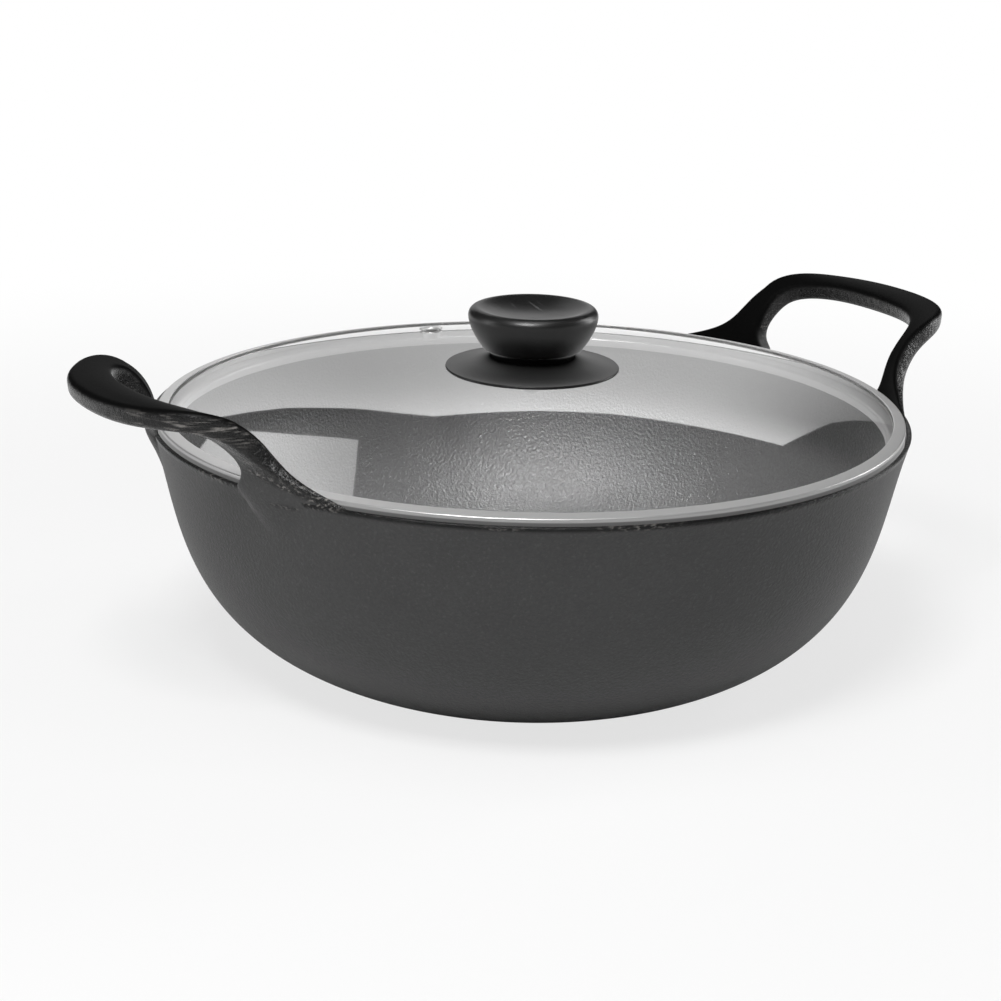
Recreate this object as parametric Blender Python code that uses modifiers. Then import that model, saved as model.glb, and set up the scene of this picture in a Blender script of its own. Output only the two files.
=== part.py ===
"""Cast iron stew pot with a glass lid, modelled in metres, +Z up.

The origin is the middle of the flat base. The two loop handles lie along X.
"""
import math

import bmesh
import bpy
from mathutils import Matrix, Vector

# Clearances
GAP = 0.0003                # between pieces that touch on the real pot
LID_PLAY = 0.0005           # between the lid's band and the pot's lip

# Pot casting
RIM_RADIUS = 0.140
POT_HEIGHT = 0.092
BASE_RADIUS = 0.078
BASE_THICKNESS = 0.0050
WALL = 0.0047
LIP_THICKNESS = 0.0019      # the thin lip that stands outside the lid
LEDGE_DEPTH = 0.0030        # how far the lid sinks below the lip
LIP_ROUND = 0.0006
FOOT_SWEEP = 0.059          # pull of the wall's curve at the base
FOOT_ANGLE = math.radians(20.6)
RIM_SWEEP = 0.034           # pull of the wall's curve at the rim
RIM_FLARE = math.radians(17.9)
WALL_POINTS = 13
WALL_SPACING = 0.85         # below 1 puts more of the points near the base
POT_STEPS = 64

# Loop handles, cast in one with the pot
HANDLE_THICKNESS = 0.0073           # at the grip
ROOT_THICKNESS = 0.0045             # where the arms leave the rim
THICKEN_LENGTH = 0.026              # length over which the arms reach the grip's thickness
HANDLE_LEAN = math.radians(86.8)    # slope of the arms where they leave the rim
HANDLE_TIP_SLOPE = math.radians(-4.0)
ARM_RISE = 0.0020                   # straight rise before the bend
BEND_RADIUS = 0.0295
PLAN_BOW = 0.70                     # how much more than the rim the grip bows
BOW_LENGTH = 0.050
HANDLE_LENGTH = 0.0556              # along the sheet, from rim to tip
FLARE_HALF_WIDTH = 0.0748           # where the arms run out along the rim
FLARE_LENGTH = 0.0059
FLARE_POWER = 1.3
ARM_HALF_WIDTH = 0.0546
CORNER_HALF_WIDTH = 0.0474
CORNER_START = 0.0291
CORNER_POWER = 2.7
HOLE_LENGTH = 0.0375
HOLE_HALF_WIDTH = 0.0399
HOLE_CORNER_START = 0.0164
HOLE_CORNER_POWER = 3.5
HANDLE_EDGE_ROUND = 0.0024
HOLE_FOOT_FLARE = 0.0050            # how far the hole narrows at the rim
HOLE_FOOT_LENGTH = 0.0040
FADE_START = 0.0400                 # half width where an arm starts to thin
FADE_LENGTH = 0.018                 # height over which it gets its full thickness
FADE_LEFT = 0.15
BUTTRESS_DROP = 0.027               # how far the arms run down the wall
BUTTRESS_SHIFT = 0.0045             # how far their inner edge moves out on the way
BUTTRESS_FADE_POWER = 1.6
BUTTRESS_SLOPE = 0.011              # width over which that edge melts into the wall
BUTTRESS_SLOPE_DROP = 0.0108        # drop at which that width is reached
OUTER_DROP_LOST = 0.85              # how much sooner the outer side ends
ROOT_SHARES = (1.0, 0.76, 0.54, 0.34, 0.16)
ARM_SHARES = (0.0, 0.06, 0.13, 0.22, 0.34, 0.50, 0.68, 0.85)
CORNER_STEPS = 7

# Lid glass
DOME_RADIUS = 0.600
GLASS_THICKNESS = 0.0032
GLASS_HOLE_RADIUS = 0.0040
GLASS_EDGE_PLAY = 0.0005
LID_STEPS = 64

# Rolled steel band round the glass
BAND_SHEET = 0.0006
BAND_LIP_WIDTH = 0.0044
BAND_BEAD_ROUND = 0.0006
SKIRT_INSET = 0.0063        # from the band's outside in to the skirt
SKIRT_DEPTH = 0.0030        # below the band's flange

# Steam vent
VENT_INSET = 0.0406         # from the band's outside in to the vent's middle
VENT_ANGLE = math.radians(83.0)
VENT_HOLE_RADIUS = 0.0040
VENT_BORE = 0.0026
VENT_FLANGE = 0.0046
VENT_FLANGE_THICKNESS = 0.0008

# Knob and its fixing
SCREW_RADIUS = 0.0025
SCREW_HEAD_RADIUS = 0.0048
SCREW_HEAD_HEIGHT = 0.0028
SCREW_REACH = 0.0072        # length of shank inside the insert
DRIVE_WIDTH = 0.0010
DRIVE_LENGTH = 0.0050
DRIVE_DEPTH = 0.0014
WASHER_RADIUS = 0.0085
WASHER_THICKNESS = 0.0010
GASKET_RADIUS = 0.0075
GASKET_THICKNESS = 0.0010
SEAL_RADIUS = 0.0120
SEAL_THICKNESS = 0.0010
FLANGE_RADIUS = 0.0320
FLANGE_EDGE = 0.0010
COLLAR_RADIUS = 0.0155
COLLAR_HEIGHT = 0.0026      # above the seal
HEAD_RADIUS = 0.0239
HEAD_HEIGHT = 0.0184
CREST_RADIUS = 0.0208
CREST_DROP = 0.0033         # from the crest down to the widest ring
SHOULDER_RADIUS = 0.0185    # where the head's side turns in under it
SHOULDER_DROP = 0.0150
DISH_DEPTH = 0.0040
DISH_RADIUS = 0.0193
DISH_POWER = 2.4
SIDE_POWER = 1.65           # how the head's side curves in from its widest ring
INSERT_RADIUS = 0.0040
INSERT_LENGTH = 0.0092
KNOB_STEPS = 36

# Heights that follow from the sizes above
LEDGE_Z = POT_HEIGHT - LEDGE_DEPTH
LIP_INNER_RADIUS = RIM_RADIUS - LIP_THICKNESS
BAND_RADIUS = LIP_INNER_RADIUS - LID_PLAY
BAND_BOTTOM = LEDGE_Z + GAP
FLANGE_TOP = BAND_BOTTOM + BAND_SHEET
GLASS_RADIUS = BAND_RADIUS - BAND_SHEET - GLASS_EDGE_PLAY
DOME_INNER_RADIUS = DOME_RADIUS - GLASS_THICKNESS
DOME_CENTRE_Z = FLANGE_TOP + GAP - math.sqrt(DOME_INNER_RADIUS**2 - GLASS_RADIUS**2)
GLASS_TOP = DOME_CENTRE_Z + DOME_RADIUS
GLASS_UNDERSIDE = DOME_CENTRE_Z + DOME_INNER_RADIUS
SKIRT_RADIUS = BAND_RADIUS - SKIRT_INSET
VENT_OFFSET = BAND_RADIUS - VENT_INSET
SHEET_RADIUS = LIP_INNER_RADIUS + 0.5 * GAP


def clear_scene():
    for old in list(bpy.data.objects):
        bpy.data.objects.remove(old, do_unlink=True)


def collection(name):
    group = bpy.data.collections.new(name)
    bpy.context.scene.collection.children.link(group)
    return group


def material(name, colour, roughness, metallic=0.0, transmission=0.0):
    finish = bpy.data.materials.new(name)
    finish.use_nodes = True
    shader = finish.node_tree.nodes["Principled BSDF"]
    shader.inputs["Base Color"].default_value = (*colour, 1.0)
    shader.inputs["Roughness"].default_value = roughness
    shader.inputs["Metallic"].default_value = metallic
    shader.inputs["Transmission Weight"].default_value = transmission
    finish.diffuse_color = (*colour, 1.0)
    return finish


def add_object(name, mesh, group, finish=None, parent=None):
    thing = bpy.data.objects.new(name, mesh)
    group.objects.link(thing)
    if parent is not None:
        thing.parent = parent
    if finish is not None:
        mesh.materials.append(finish)
    return thing


def move_to(thing, group):
    for home in list(thing.users_collection):
        home.objects.unlink(thing)
    group.objects.link(thing)


def hide_as_tool(thing):
    thing.hide_render = True
    thing.display_type = 'WIRE'


def turned(name, profile, group, finish, parent=None, steps=KNOB_STEPS, closed=False):
    """A profile of (radius, height) points, spun round Z by a Screw modifier.

    The points run down the outer side. An open profile starts and ends on the axis.
    """
    mesh = bpy.data.meshes.new(name)
    verts = [(radius, 0.0, height) for radius, height in profile]
    edges = [(i, i + 1) for i in range(len(verts) - 1)]
    if closed:
        edges.append((len(verts) - 1, 0))
    mesh.from_pydata(verts, edges, [])
    thing = add_object(name, mesh, group, finish, parent)
    spin = thing.modifiers.new("Spin", 'SCREW')
    spin.axis = 'Z'
    spin.angle = math.tau
    spin.steps = steps
    spin.render_steps = steps
    spin.use_merge_vertices = True
    spin.merge_threshold = 0.00001
    spin.use_smooth_shade = True
    return thing


def combine(thing, other, operation):
    """A Boolean modifier, with the other object kept as a hidden tool."""
    cut = thing.modifiers.new(other.name, 'BOOLEAN')
    cut.operation = operation
    cut.solver = 'EXACT'
    cut.object = other
    hide_as_tool(other)


def ease(share):
    share = min(max(share, 0.0), 1.0)
    return share * share * (3.0 - 2.0 * share)


def wall_curve(share):
    """Point and outward normal (radius, height) of the outer wall, 0 at the base, 1 at the rim."""
    start = Vector((BASE_RADIUS, 0.0))
    end = Vector((RIM_RADIUS, POT_HEIGHT))
    pull_a = start + FOOT_SWEEP * Vector((math.cos(FOOT_ANGLE), math.sin(FOOT_ANGLE)))
    pull_b = end - RIM_SWEEP * Vector((math.sin(RIM_FLARE), math.cos(RIM_FLARE)))
    rest = 1.0 - share
    point = (rest**3 * start + 3.0 * rest**2 * share * pull_a
             + 3.0 * rest * share**2 * pull_b + share**3 * end)
    along = (rest**2 * (pull_a - start) + 2.0 * rest * share * (pull_b - pull_a)
             + share**2 * (end - pull_b)).normalized()
    return point, Vector((along.y, -along.x))


def wall_radius(height):
    """Outer radius of the wall at a height, found by halving the curve's range."""
    low, high = 0.0, 1.0
    for _ in range(40):
        middle = 0.5 * (low + high)
        if wall_curve(middle)[0].y < height:
            low = middle
        else:
            high = middle
    return wall_curve(low)[0].x


def pot_profile():
    """Half section of the bowl: up the inside, over the lip and down the outside."""
    shares = [(i / WALL_POINTS) ** WALL_SPACING for i in range(WALL_POINTS + 1)]
    inner = []
    for share in shares:
        point, normal = wall_curve(share)
        inner.append(point - WALL * normal)
    inner = [p for p in inner if BASE_THICKNESS + 0.2 * WALL < p.y < LEDGE_Z - 0.2 * WALL]
    shoulder = wall_radius(LEDGE_Z) - WALL / math.cos(RIM_FLARE)
    foot = wall_curve(0.0)[0].x - WALL * 0.5
    profile = [(0.0, BASE_THICKNESS), (foot, BASE_THICKNESS)]
    profile += [(p.x, p.y) for p in inner]
    profile += [
        (shoulder, LEDGE_Z - LIP_ROUND),
        (shoulder + LIP_ROUND, LEDGE_Z),
        (LIP_INNER_RADIUS, LEDGE_Z),
        (LIP_INNER_RADIUS, POT_HEIGHT - 0.5 * LIP_ROUND),
        (LIP_INNER_RADIUS + 0.5 * LIP_ROUND, POT_HEIGHT),
        (RIM_RADIUS - LIP_ROUND, POT_HEIGHT),
        (RIM_RADIUS - 0.2 * LIP_ROUND, POT_HEIGHT - 0.4 * LIP_ROUND),
    ]
    outer = [wall_curve(share)[0] for share in reversed(shares)]
    outer[0] = Vector((wall_radius(POT_HEIGHT - 1.5 * LIP_ROUND), POT_HEIGHT - 1.5 * LIP_ROUND))
    profile += [(p.x, p.y) for p in outer]
    profile.append((0.0, 0.0))
    return profile


def sheet_path(along):
    """Reach, rise and slope of the handle's upper face at a distance from the rim."""
    slope = HANDLE_LEAN
    reach = SHEET_RADIUS + min(along, ARM_RISE) * math.cos(slope)
    rise = POT_HEIGHT + min(along, ARM_RISE) * math.sin(slope)
    bend = BEND_RADIUS * (HANDLE_LEAN - HANDLE_TIP_SLOPE)
    turned_by = min(max(along - ARM_RISE, 0.0), bend)
    slope = HANDLE_LEAN - turned_by / BEND_RADIUS
    reach += BEND_RADIUS * (math.sin(HANDLE_LEAN) - math.sin(slope))
    rise += BEND_RADIUS * (math.cos(slope) - math.cos(HANDLE_LEAN))
    straight = max(along - ARM_RISE - bend, 0.0)
    reach += straight * math.cos(slope)
    rise += straight * math.sin(slope)
    return reach, rise, slope


def sheet_point(side, along, depth):
    """Point of the handle: side and distance along its face, depth below that face."""
    reach, rise, slope = sheet_path(along)
    reach += depth * math.sin(slope)
    rise -= depth * math.cos(slope)
    bow = 1.0 + PLAN_BOW * min(along / BOW_LENGTH, 1.0)
    forward = reach - bow * (reach - math.sqrt(reach**2 - side**2))
    return Vector((forward, side, rise))


def local_thickness(side, along):
    """The arms are as thin as the wall at the rim, and thinner still where they flare out."""
    fade = ease((abs(side) - FADE_START) / (FLARE_HALF_WIDTH - FADE_START))
    kept = 1.0 - (1.0 - FADE_LEFT) * fade * (1.0 - ease(along / FADE_LENGTH))
    grown = ROOT_THICKNESS + (HANDLE_THICKNESS - ROOT_THICKNESS) * ease(along / THICKEN_LENGTH)
    return grown * kept


def outer_outline(share):
    along = CORNER_START * share
    flare = (FLARE_HALF_WIDTH - ARM_HALF_WIDTH) * math.exp(-(along / FLARE_LENGTH) ** FLARE_POWER)
    side = ARM_HALF_WIDTH + (CORNER_HALF_WIDTH - ARM_HALF_WIDTH) * share + flare
    return side, along


def hole_outline(share):
    along = HOLE_CORNER_START * share
    flare = HOLE_FOOT_FLARE * math.exp(-(along / HOLE_FOOT_LENGTH) ** FLARE_POWER)
    return HOLE_HALF_WIDTH - flare, along


def corner(turn, half_width, start, end, power):
    """Rounded corner of an outline, from the arm (turn 0) to the middle of the grip (turn 1)."""
    angle = 0.5 * math.pi * turn
    side = half_width * max(math.cos(angle), 0.0) ** (2.0 / power)
    along = start + (end - start) * math.sin(angle) ** (2.0 / power)
    return (0.0 if turn == 1.0 else side), along


def strap_section(width):
    """Rounded section as (distance from the hole, share of the thickness)."""
    thick = HANDLE_THICKNESS
    r = min(HANDLE_EDGE_ROUND, 0.45 * width, 0.45 * thick)
    points = []
    for centre_x, centre_y, start in (
            (width - r, r, -90.0), (width - r, thick - r, 0.0), (r, thick - r, 90.0), (r, r, 180.0)):
        for turn in (0.0, 45.0, 90.0):
            angle = math.radians(start + turn)
            points.append((centre_x + r * math.cos(angle), centre_y + r * math.sin(angle)))
    flat = width - 2.0 * r
    points += [(r + flat * share, 0.0) for share in (0.25, 0.5, 0.75)]
    points[6:6] = [(r + flat * share, thick) for share in (0.75, 0.5, 0.25)]
    return [(x, y / thick) for x, y in points]


def arm_station(outer, hole):
    """One section of the strap, across the sheet from the hole's edge to the outer edge."""
    width = math.dist(outer, hole)
    ring = []
    for across, depth_share in strap_section(width):
        mix = across / width
        side = hole[0] + (outer[0] - hole[0]) * mix
        along = hole[1] + (outer[1] - hole[1]) * mix
        ring.append(sheet_point(side, along, depth_share * local_thickness(side, along)))
    return ring


def buttress_keep(across, side, drop):
    """Share of the arm's height above the wall that is left at a drop below the rim."""
    outward = ease((side - FADE_START) / (FLARE_HALF_WIDTH - FADE_START))
    reach = BUTTRESS_DROP * (1.0 - OUTER_DROP_LOST * outward)
    keep = max(1.0 - drop / reach, 0.0) ** BUTTRESS_FADE_POWER
    slope = BUTTRESS_SLOPE * min(drop / BUTTRESS_SLOPE_DROP, 1.0)
    return keep * ease(across / slope)


def root_station(share):
    """One section of the buttress, inside the wall and standing out from it below the rim."""
    drop = LEDGE_DEPTH + 0.5 * GAP + (BUTTRESS_DROP - LEDGE_DEPTH) * share
    height = POT_HEIGHT - drop
    skin = wall_radius(height)
    inside = SHEET_RADIUS if share == 0.0 else skin - 0.5 * WALL
    inner_side = HOLE_HALF_WIDTH - HOLE_FOOT_FLARE + BUTTRESS_SHIFT * share
    width = FLARE_HALF_WIDTH - inner_side
    ring = []
    for across, depth_share in strap_section(width):
        side = inner_side + across
        proud = SHEET_RADIUS + local_thickness(side, 0.0) - RIM_RADIUS
        keep = buttress_keep(across, side, drop)
        outside = skin + proud * keep - 2.0 * GAP * (1.0 - keep)
        radius = inside + (outside - inside) * depth_share
        ring.append(Vector((math.sqrt(radius**2 - side**2), side, height)))
    return ring


def handle_mesh():
    """A strap lofted from one buttress, up an arm, round the grip and down the other arm."""
    half = [root_station(share) for share in ROOT_SHARES]
    half.append(root_station(0.0))
    half += [arm_station(outer_outline(share), hole_outline(share)) for share in ARM_SHARES]
    for step in range(CORNER_STEPS + 1):
        turn = step / CORNER_STEPS
        outer = corner(turn, CORNER_HALF_WIDTH, CORNER_START, HANDLE_LENGTH, CORNER_POWER)
        hole = corner(turn, HOLE_HALF_WIDTH, HOLE_CORNER_START, HOLE_LENGTH, HOLE_CORNER_POWER)
        half.append(arm_station(outer, hole))
    mirrored = [[Vector((p.x, -p.y, p.z)) for p in ring] for ring in reversed(half[:-1])]
    rings = half + mirrored
    shape = bmesh.new()
    rows = [[shape.verts.new(p) for p in ring] for ring in rings]
    count = len(rows[0])
    for row, following in zip(rows, rows[1:]):
        for i in range(count):
            j = (i + 1) % count
            shape.faces.new((row[i], row[j], following[j], following[i]))
    shape.faces.new(rows[0])
    shape.faces.new(rows[-1])
    bmesh.ops.recalc_face_normals(shape, faces=shape.faces)
    mesh = bpy.data.meshes.new("handle")
    shape.to_mesh(mesh)
    shape.free()
    return mesh


def dome_height(radius, sphere=DOME_RADIUS):
    return DOME_CENTRE_Z + math.sqrt(sphere**2 - radius**2)


def make_pot(group, tools):
    iron = material("cast_iron", (0.055, 0.055, 0.058), 0.55, metallic=0.0)
    pot = turned("pot_body", pot_profile(), group, iron, steps=POT_STEPS)
    mesh = handle_mesh()
    for name, heading in (("right_handle_form", 0.0), ("left_handle_form", math.pi)):
        form = add_object(name, mesh.copy(), tools)
        form.rotation_euler.z = heading
        combine(pot, form, 'UNION')


def make_glass(group, tools, lid):
    clear = material("tempered_glass", (0.86, 0.89, 0.88), 0.03, transmission=1.0)
    radii = [GLASS_HOLE_RADIUS + (GLASS_RADIUS - GLASS_HOLE_RADIUS) * i / 8 for i in range(9)]
    edge = 0.25 * GLASS_THICKNESS
    top = [(r, dome_height(r)) for r in radii[:-1]]
    top.append((GLASS_RADIUS - edge, dome_height(GLASS_RADIUS - edge)))
    top.append((GLASS_RADIUS, dome_height(GLASS_RADIUS) - edge))
    bottom = [(r, dome_height(r, DOME_INNER_RADIUS)) for r in radii[:-1]]
    bottom.append((GLASS_RADIUS - edge, dome_height(GLASS_RADIUS - edge, DOME_INNER_RADIUS)))
    bottom.append((GLASS_RADIUS, dome_height(GLASS_RADIUS, DOME_INNER_RADIUS) + edge))
    profile = top + bottom[::-1]
    glass = turned("lid_glass", local(profile), group, clear, lid, steps=LID_STEPS, closed=True)
    bpy.ops.mesh.primitive_cylinder_add(vertices=24, radius=VENT_HOLE_RADIUS, depth=8.0 * GLASS_THICKNESS)
    drill = bpy.context.object
    drill.name = "vent_drill"
    drill.matrix_world = vent_frame()
    move_to(drill, tools)
    combine(glass, drill, 'DIFFERENCE')


def local(profile):
    """Profile heights counted from the lid's own origin on the ledge."""
    return [(radius, height - LEDGE_Z) for radius, height in profile]


def vent_frame():
    """Place and tilt of the vent: on the dome, square to the glass."""
    tilt = math.asin(VENT_OFFSET / DOME_RADIUS)
    spin = Matrix.Rotation(VENT_ANGLE, 4, 'Z')
    move = Matrix.Translation((VENT_OFFSET, 0.0, dome_height(VENT_OFFSET)))
    return spin @ move @ Matrix.Rotation(tilt, 4, 'Y')


def make_band(group, lid):
    steel = material("stainless_steel", (0.72, 0.72, 0.71), 0.22, metallic=1.0)
    lip = BAND_RADIUS - BAND_LIP_WIDTH
    shoulder = BAND_RADIUS - 2.0 * BAND_BEAD_ROUND
    inside = BAND_RADIUS - BAND_SHEET
    skirt_inner = SKIRT_RADIUS - BAND_SHEET
    skirt_bottom = BAND_BOTTOM - SKIRT_DEPTH
    bead_top = dome_height(shoulder) + GAP + BAND_SHEET
    profile = [
        (lip, dome_height(lip) + GAP + BAND_SHEET),
        (shoulder, bead_top),
        (BAND_RADIUS - 0.5 * BAND_BEAD_ROUND, bead_top - 0.6 * BAND_BEAD_ROUND),
        (BAND_RADIUS, bead_top - 1.6 * BAND_BEAD_ROUND),
        (BAND_RADIUS, BAND_BOTTOM + BAND_BEAD_ROUND),
        (BAND_RADIUS - BAND_BEAD_ROUND, BAND_BOTTOM),
        (SKIRT_RADIUS + 2.0 * BAND_SHEET, BAND_BOTTOM),
        (SKIRT_RADIUS, BAND_BOTTOM - 2.0 * BAND_SHEET),
        (SKIRT_RADIUS, skirt_bottom),
        (skirt_inner, skirt_bottom),
        (skirt_inner, BAND_BOTTOM - BAND_SHEET),
        (SKIRT_RADIUS + BAND_SHEET, FLANGE_TOP),
        (inside - 0.5 * BAND_SHEET, FLANGE_TOP),
        (inside, FLANGE_TOP + 0.5 * BAND_SHEET),
        (inside, dome_height(inside) + 0.2 * GAP),
        (inside - BAND_SHEET, dome_height(inside - BAND_SHEET) + GAP),
        (lip, dome_height(lip) + GAP),
    ]
    turned("lid_rim_band", local(profile), group, steel, lid, steps=LID_STEPS, closed=True)
    return steel


def make_vent(group, lid, steel):
    """A steel eyelet through the glass, its two flanges square to the dome."""
    shank = VENT_HOLE_RADIUS - GAP
    top = GAP + VENT_FLANGE_THICKNESS
    under = -GLASS_THICKNESS - GAP
    bottom = under - VENT_FLANGE_THICKNESS
    nose = 0.4 * VENT_FLANGE_THICKNESS
    profile = [
        (VENT_BORE, top - nose),
        (VENT_BORE + nose, top),
        (VENT_FLANGE - nose, top),
        (VENT_FLANGE, top - nose),
        (VENT_FLANGE, GAP),
        (shank, GAP),
        (shank, under),
        (VENT_FLANGE, under),
        (VENT_FLANGE, bottom + nose),
        (VENT_FLANGE - nose, bottom),
        (VENT_BORE, bottom),
    ]
    vent = turned("steam_vent", profile, group, steel, lid, steps=24, closed=True)
    vent.matrix_local = Matrix.Translation((0.0, 0.0, -LEDGE_Z)) @ vent_frame()


def ring_piece(name, inner, outer, bottom, thickness, group, finish, lid, steps=32):
    top = bottom + thickness
    profile = [(inner, top), (outer, top), (outer, bottom), (inner, bottom)]
    turned(name, local(profile), group, finish, lid, steps=steps, closed=True)


def knob_head_outline(crest, bottom):
    """Outer half section of the knob's head, from the dish's middle down to the collar."""
    outline = [(0.0, crest - DISH_DEPTH)]
    for i in range(1, 6):
        out = i / 5
        outline.append((DISH_RADIUS * out, crest - DISH_DEPTH * (1.0 - 0.9 * out**DISH_POWER)))
    outline.append((CREST_RADIUS, crest))
    for i in range(1, 5):
        turn = 0.5 * math.pi * i / 4
        outline.append((CREST_RADIUS + (HEAD_RADIUS - CREST_RADIUS) * math.sin(turn),
                        crest - CREST_DROP * (1.0 - math.cos(turn))))
    for i in range(1, 5):
        down = i / 4
        outline.append((HEAD_RADIUS - (HEAD_RADIUS - SHOULDER_RADIUS) * down**SIDE_POWER,
                        crest - CREST_DROP - (SHOULDER_DROP - CREST_DROP) * down))
    shoulder = crest - SHOULDER_DROP
    for i in range(1, 5):
        turn = 0.5 * math.pi * i / 4
        outline.append((SHOULDER_RADIUS - (SHOULDER_RADIUS - COLLAR_RADIUS) * math.sin(turn),
                        shoulder - (shoulder - bottom) * (1.0 - 0.9 * math.cos(turn))))
    return outline


def make_knob(group, tools, lid, steel):
    bakelite = material("phenolic_plastic", (0.018, 0.018, 0.019), 0.35)
    silicone = material("silicone", (0.62, 0.62, 0.60), 0.6)
    brass = material("brass", (0.72, 0.52, 0.22), 0.3, metallic=1.0)
    bore = SCREW_RADIUS + GAP

    seal_bottom = GLASS_TOP + GAP
    ring_piece("knob_seal", GLASS_HOLE_RADIUS, SEAL_RADIUS, seal_bottom, SEAL_THICKNESS,
               group, silicone, lid)

    base_bottom = seal_bottom + SEAL_THICKNESS + GAP
    edge_bottom = dome_height(FLANGE_RADIUS) + 2.0 * GAP
    base_top = base_bottom + COLLAR_HEIGHT
    rise = base_top - edge_bottom - FLANGE_EDGE
    sweep = FLANGE_RADIUS - COLLAR_RADIUS
    base = [(bore, base_top), (COLLAR_RADIUS, base_top)]
    for i in range(1, 7):
        out = i / 6
        base.append((COLLAR_RADIUS + sweep * out, base_top - rise * (1.0 - (1.0 - out) ** 2.0)))
    base += [
        (FLANGE_RADIUS, edge_bottom + 0.3 * FLANGE_EDGE),
        (FLANGE_RADIUS - 0.3 * FLANGE_EDGE, edge_bottom),
        (FLANGE_RADIUS - FLANGE_EDGE, edge_bottom),
        (SEAL_RADIUS + 2.0 * FLANGE_EDGE, base_bottom),
        (bore, base_bottom),
    ]
    turned("knob_base", local(base), group, bakelite, lid, closed=True)

    head_bottom = base_top + GAP
    pocket_top = head_bottom + GAP + INSERT_LENGTH + GAP
    crest = head_bottom + HEAD_HEIGHT
    head = knob_head_outline(crest, head_bottom) + [
        (INSERT_RADIUS + GAP, head_bottom),
        (INSERT_RADIUS + GAP, pocket_top),
        (0.0, pocket_top),
    ]
    turned("knob_head", local(head), group, bakelite, lid)

    insert_bottom = head_bottom + GAP
    ring_piece("knob_insert", bore, INSERT_RADIUS, insert_bottom, INSERT_LENGTH, group, brass, lid)

    gasket_bottom = GLASS_UNDERSIDE - GAP - GASKET_THICKNESS
    ring_piece("glass_gasket", bore, GASKET_RADIUS, gasket_bottom, GASKET_THICKNESS,
               group, silicone, lid)
    washer_bottom = gasket_bottom - GAP - WASHER_THICKNESS
    ring_piece("screw_washer", bore, WASHER_RADIUS, washer_bottom, WASHER_THICKNESS,
               group, steel, lid)

    head_top = washer_bottom - GAP
    tip = insert_bottom + SCREW_REACH
    low = head_top - SCREW_HEAD_HEIGHT
    screw = [
        (0.0, tip),
        (SCREW_RADIUS, tip),
        (SCREW_RADIUS, head_top),
        (SCREW_HEAD_RADIUS, head_top),
        (SCREW_HEAD_RADIUS, low + 0.5 * SCREW_HEAD_HEIGHT),
        (0.72 * SCREW_HEAD_RADIUS, low),
        (0.0, low),
    ]
    bolt = turned("knob_screw", local(screw), group, steel, lid, steps=32)
    for i in range(2):
        bpy.ops.mesh.primitive_cube_add(size=1.0, location=(0.0, 0.0, low))
        slot = bpy.context.object
        slot.name = f"drive_slot_{i + 1}"
        slot.scale = (DRIVE_LENGTH, DRIVE_WIDTH, 2.0 * DRIVE_DEPTH)
        slot.rotation_euler.z = 0.5 * math.pi * i
        move_to(slot, tools)
        combine(bolt, slot, 'DIFFERENCE')


def main():
    clear_scene()
    group = collection("cast_iron_stew_pot")
    tools = collection("tools")
    lid = bpy.data.objects.new("lid", None)
    lid.empty_display_size = 0.03
    lid.location = (0.0, 0.0, LEDGE_Z)
    group.objects.link(lid)
    make_pot(group, tools)
    make_glass(group, tools, lid)
    steel = make_band(group, lid)
    make_vent(group, lid, steel)
    make_knob(group, tools, lid, steel)
    bpy.context.view_layer.update()


main()
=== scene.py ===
import math

import bmesh
import bpy
from mathutils import Matrix, Vector
from mathutils.kdtree import KDTree


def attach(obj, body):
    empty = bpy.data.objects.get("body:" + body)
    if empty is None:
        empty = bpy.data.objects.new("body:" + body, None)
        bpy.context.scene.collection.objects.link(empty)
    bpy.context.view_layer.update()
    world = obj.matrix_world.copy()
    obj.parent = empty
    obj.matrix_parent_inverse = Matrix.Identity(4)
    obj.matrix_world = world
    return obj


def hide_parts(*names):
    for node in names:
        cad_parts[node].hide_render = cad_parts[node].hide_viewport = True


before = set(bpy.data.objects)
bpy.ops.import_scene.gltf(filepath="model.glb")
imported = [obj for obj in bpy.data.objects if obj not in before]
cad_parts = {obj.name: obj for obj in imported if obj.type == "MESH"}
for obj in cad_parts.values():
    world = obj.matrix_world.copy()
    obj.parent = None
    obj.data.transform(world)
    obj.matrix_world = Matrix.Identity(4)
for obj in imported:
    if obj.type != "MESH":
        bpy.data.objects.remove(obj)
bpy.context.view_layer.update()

# Sizes that the pieces share with the CAD model, in metres
GAP = 0.0003
RIM_RADIUS = 0.140
POT_HEIGHT = 0.092
BASE_RADIUS = 0.078
BASE_THICKNESS = 0.0050
WALL = 0.0047
LIP_THICKNESS = 0.0019
LEDGE_DEPTH = 0.0030
LIP_ROUND = 0.0006
FOOT_SWEEP = 0.059
FOOT_ANGLE = math.radians(20.6)
RIM_SWEEP = 0.034
RIM_FLARE = math.radians(17.9)
WALL_SPACING = 0.85

HANDLE_THICKNESS = 0.0073
ROOT_THICKNESS = 0.0045
THICKEN_LENGTH = 0.026
HANDLE_LEAN = math.radians(86.8)
HANDLE_TIP_SLOPE = math.radians(-4.0)
ARM_RISE = 0.0020
BEND_RADIUS = 0.0295
PLAN_BOW = 0.70
BOW_LENGTH = 0.050
HANDLE_LENGTH = 0.0556
FLARE_HALF_WIDTH = 0.0748
FLARE_LENGTH = 0.0059
FLARE_POWER = 1.3
ARM_HALF_WIDTH = 0.0546
CORNER_HALF_WIDTH = 0.0474
CORNER_START = 0.0291
CORNER_POWER = 2.7
HOLE_LENGTH = 0.0375
HOLE_HALF_WIDTH = 0.0399
HOLE_CORNER_START = 0.0164
HOLE_CORNER_POWER = 3.5
HANDLE_EDGE_ROUND = 0.0024
HOLE_FOOT_FLARE = 0.0050
HOLE_FOOT_LENGTH = 0.0040
FADE_START = 0.0400
FADE_LENGTH = 0.018
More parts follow.
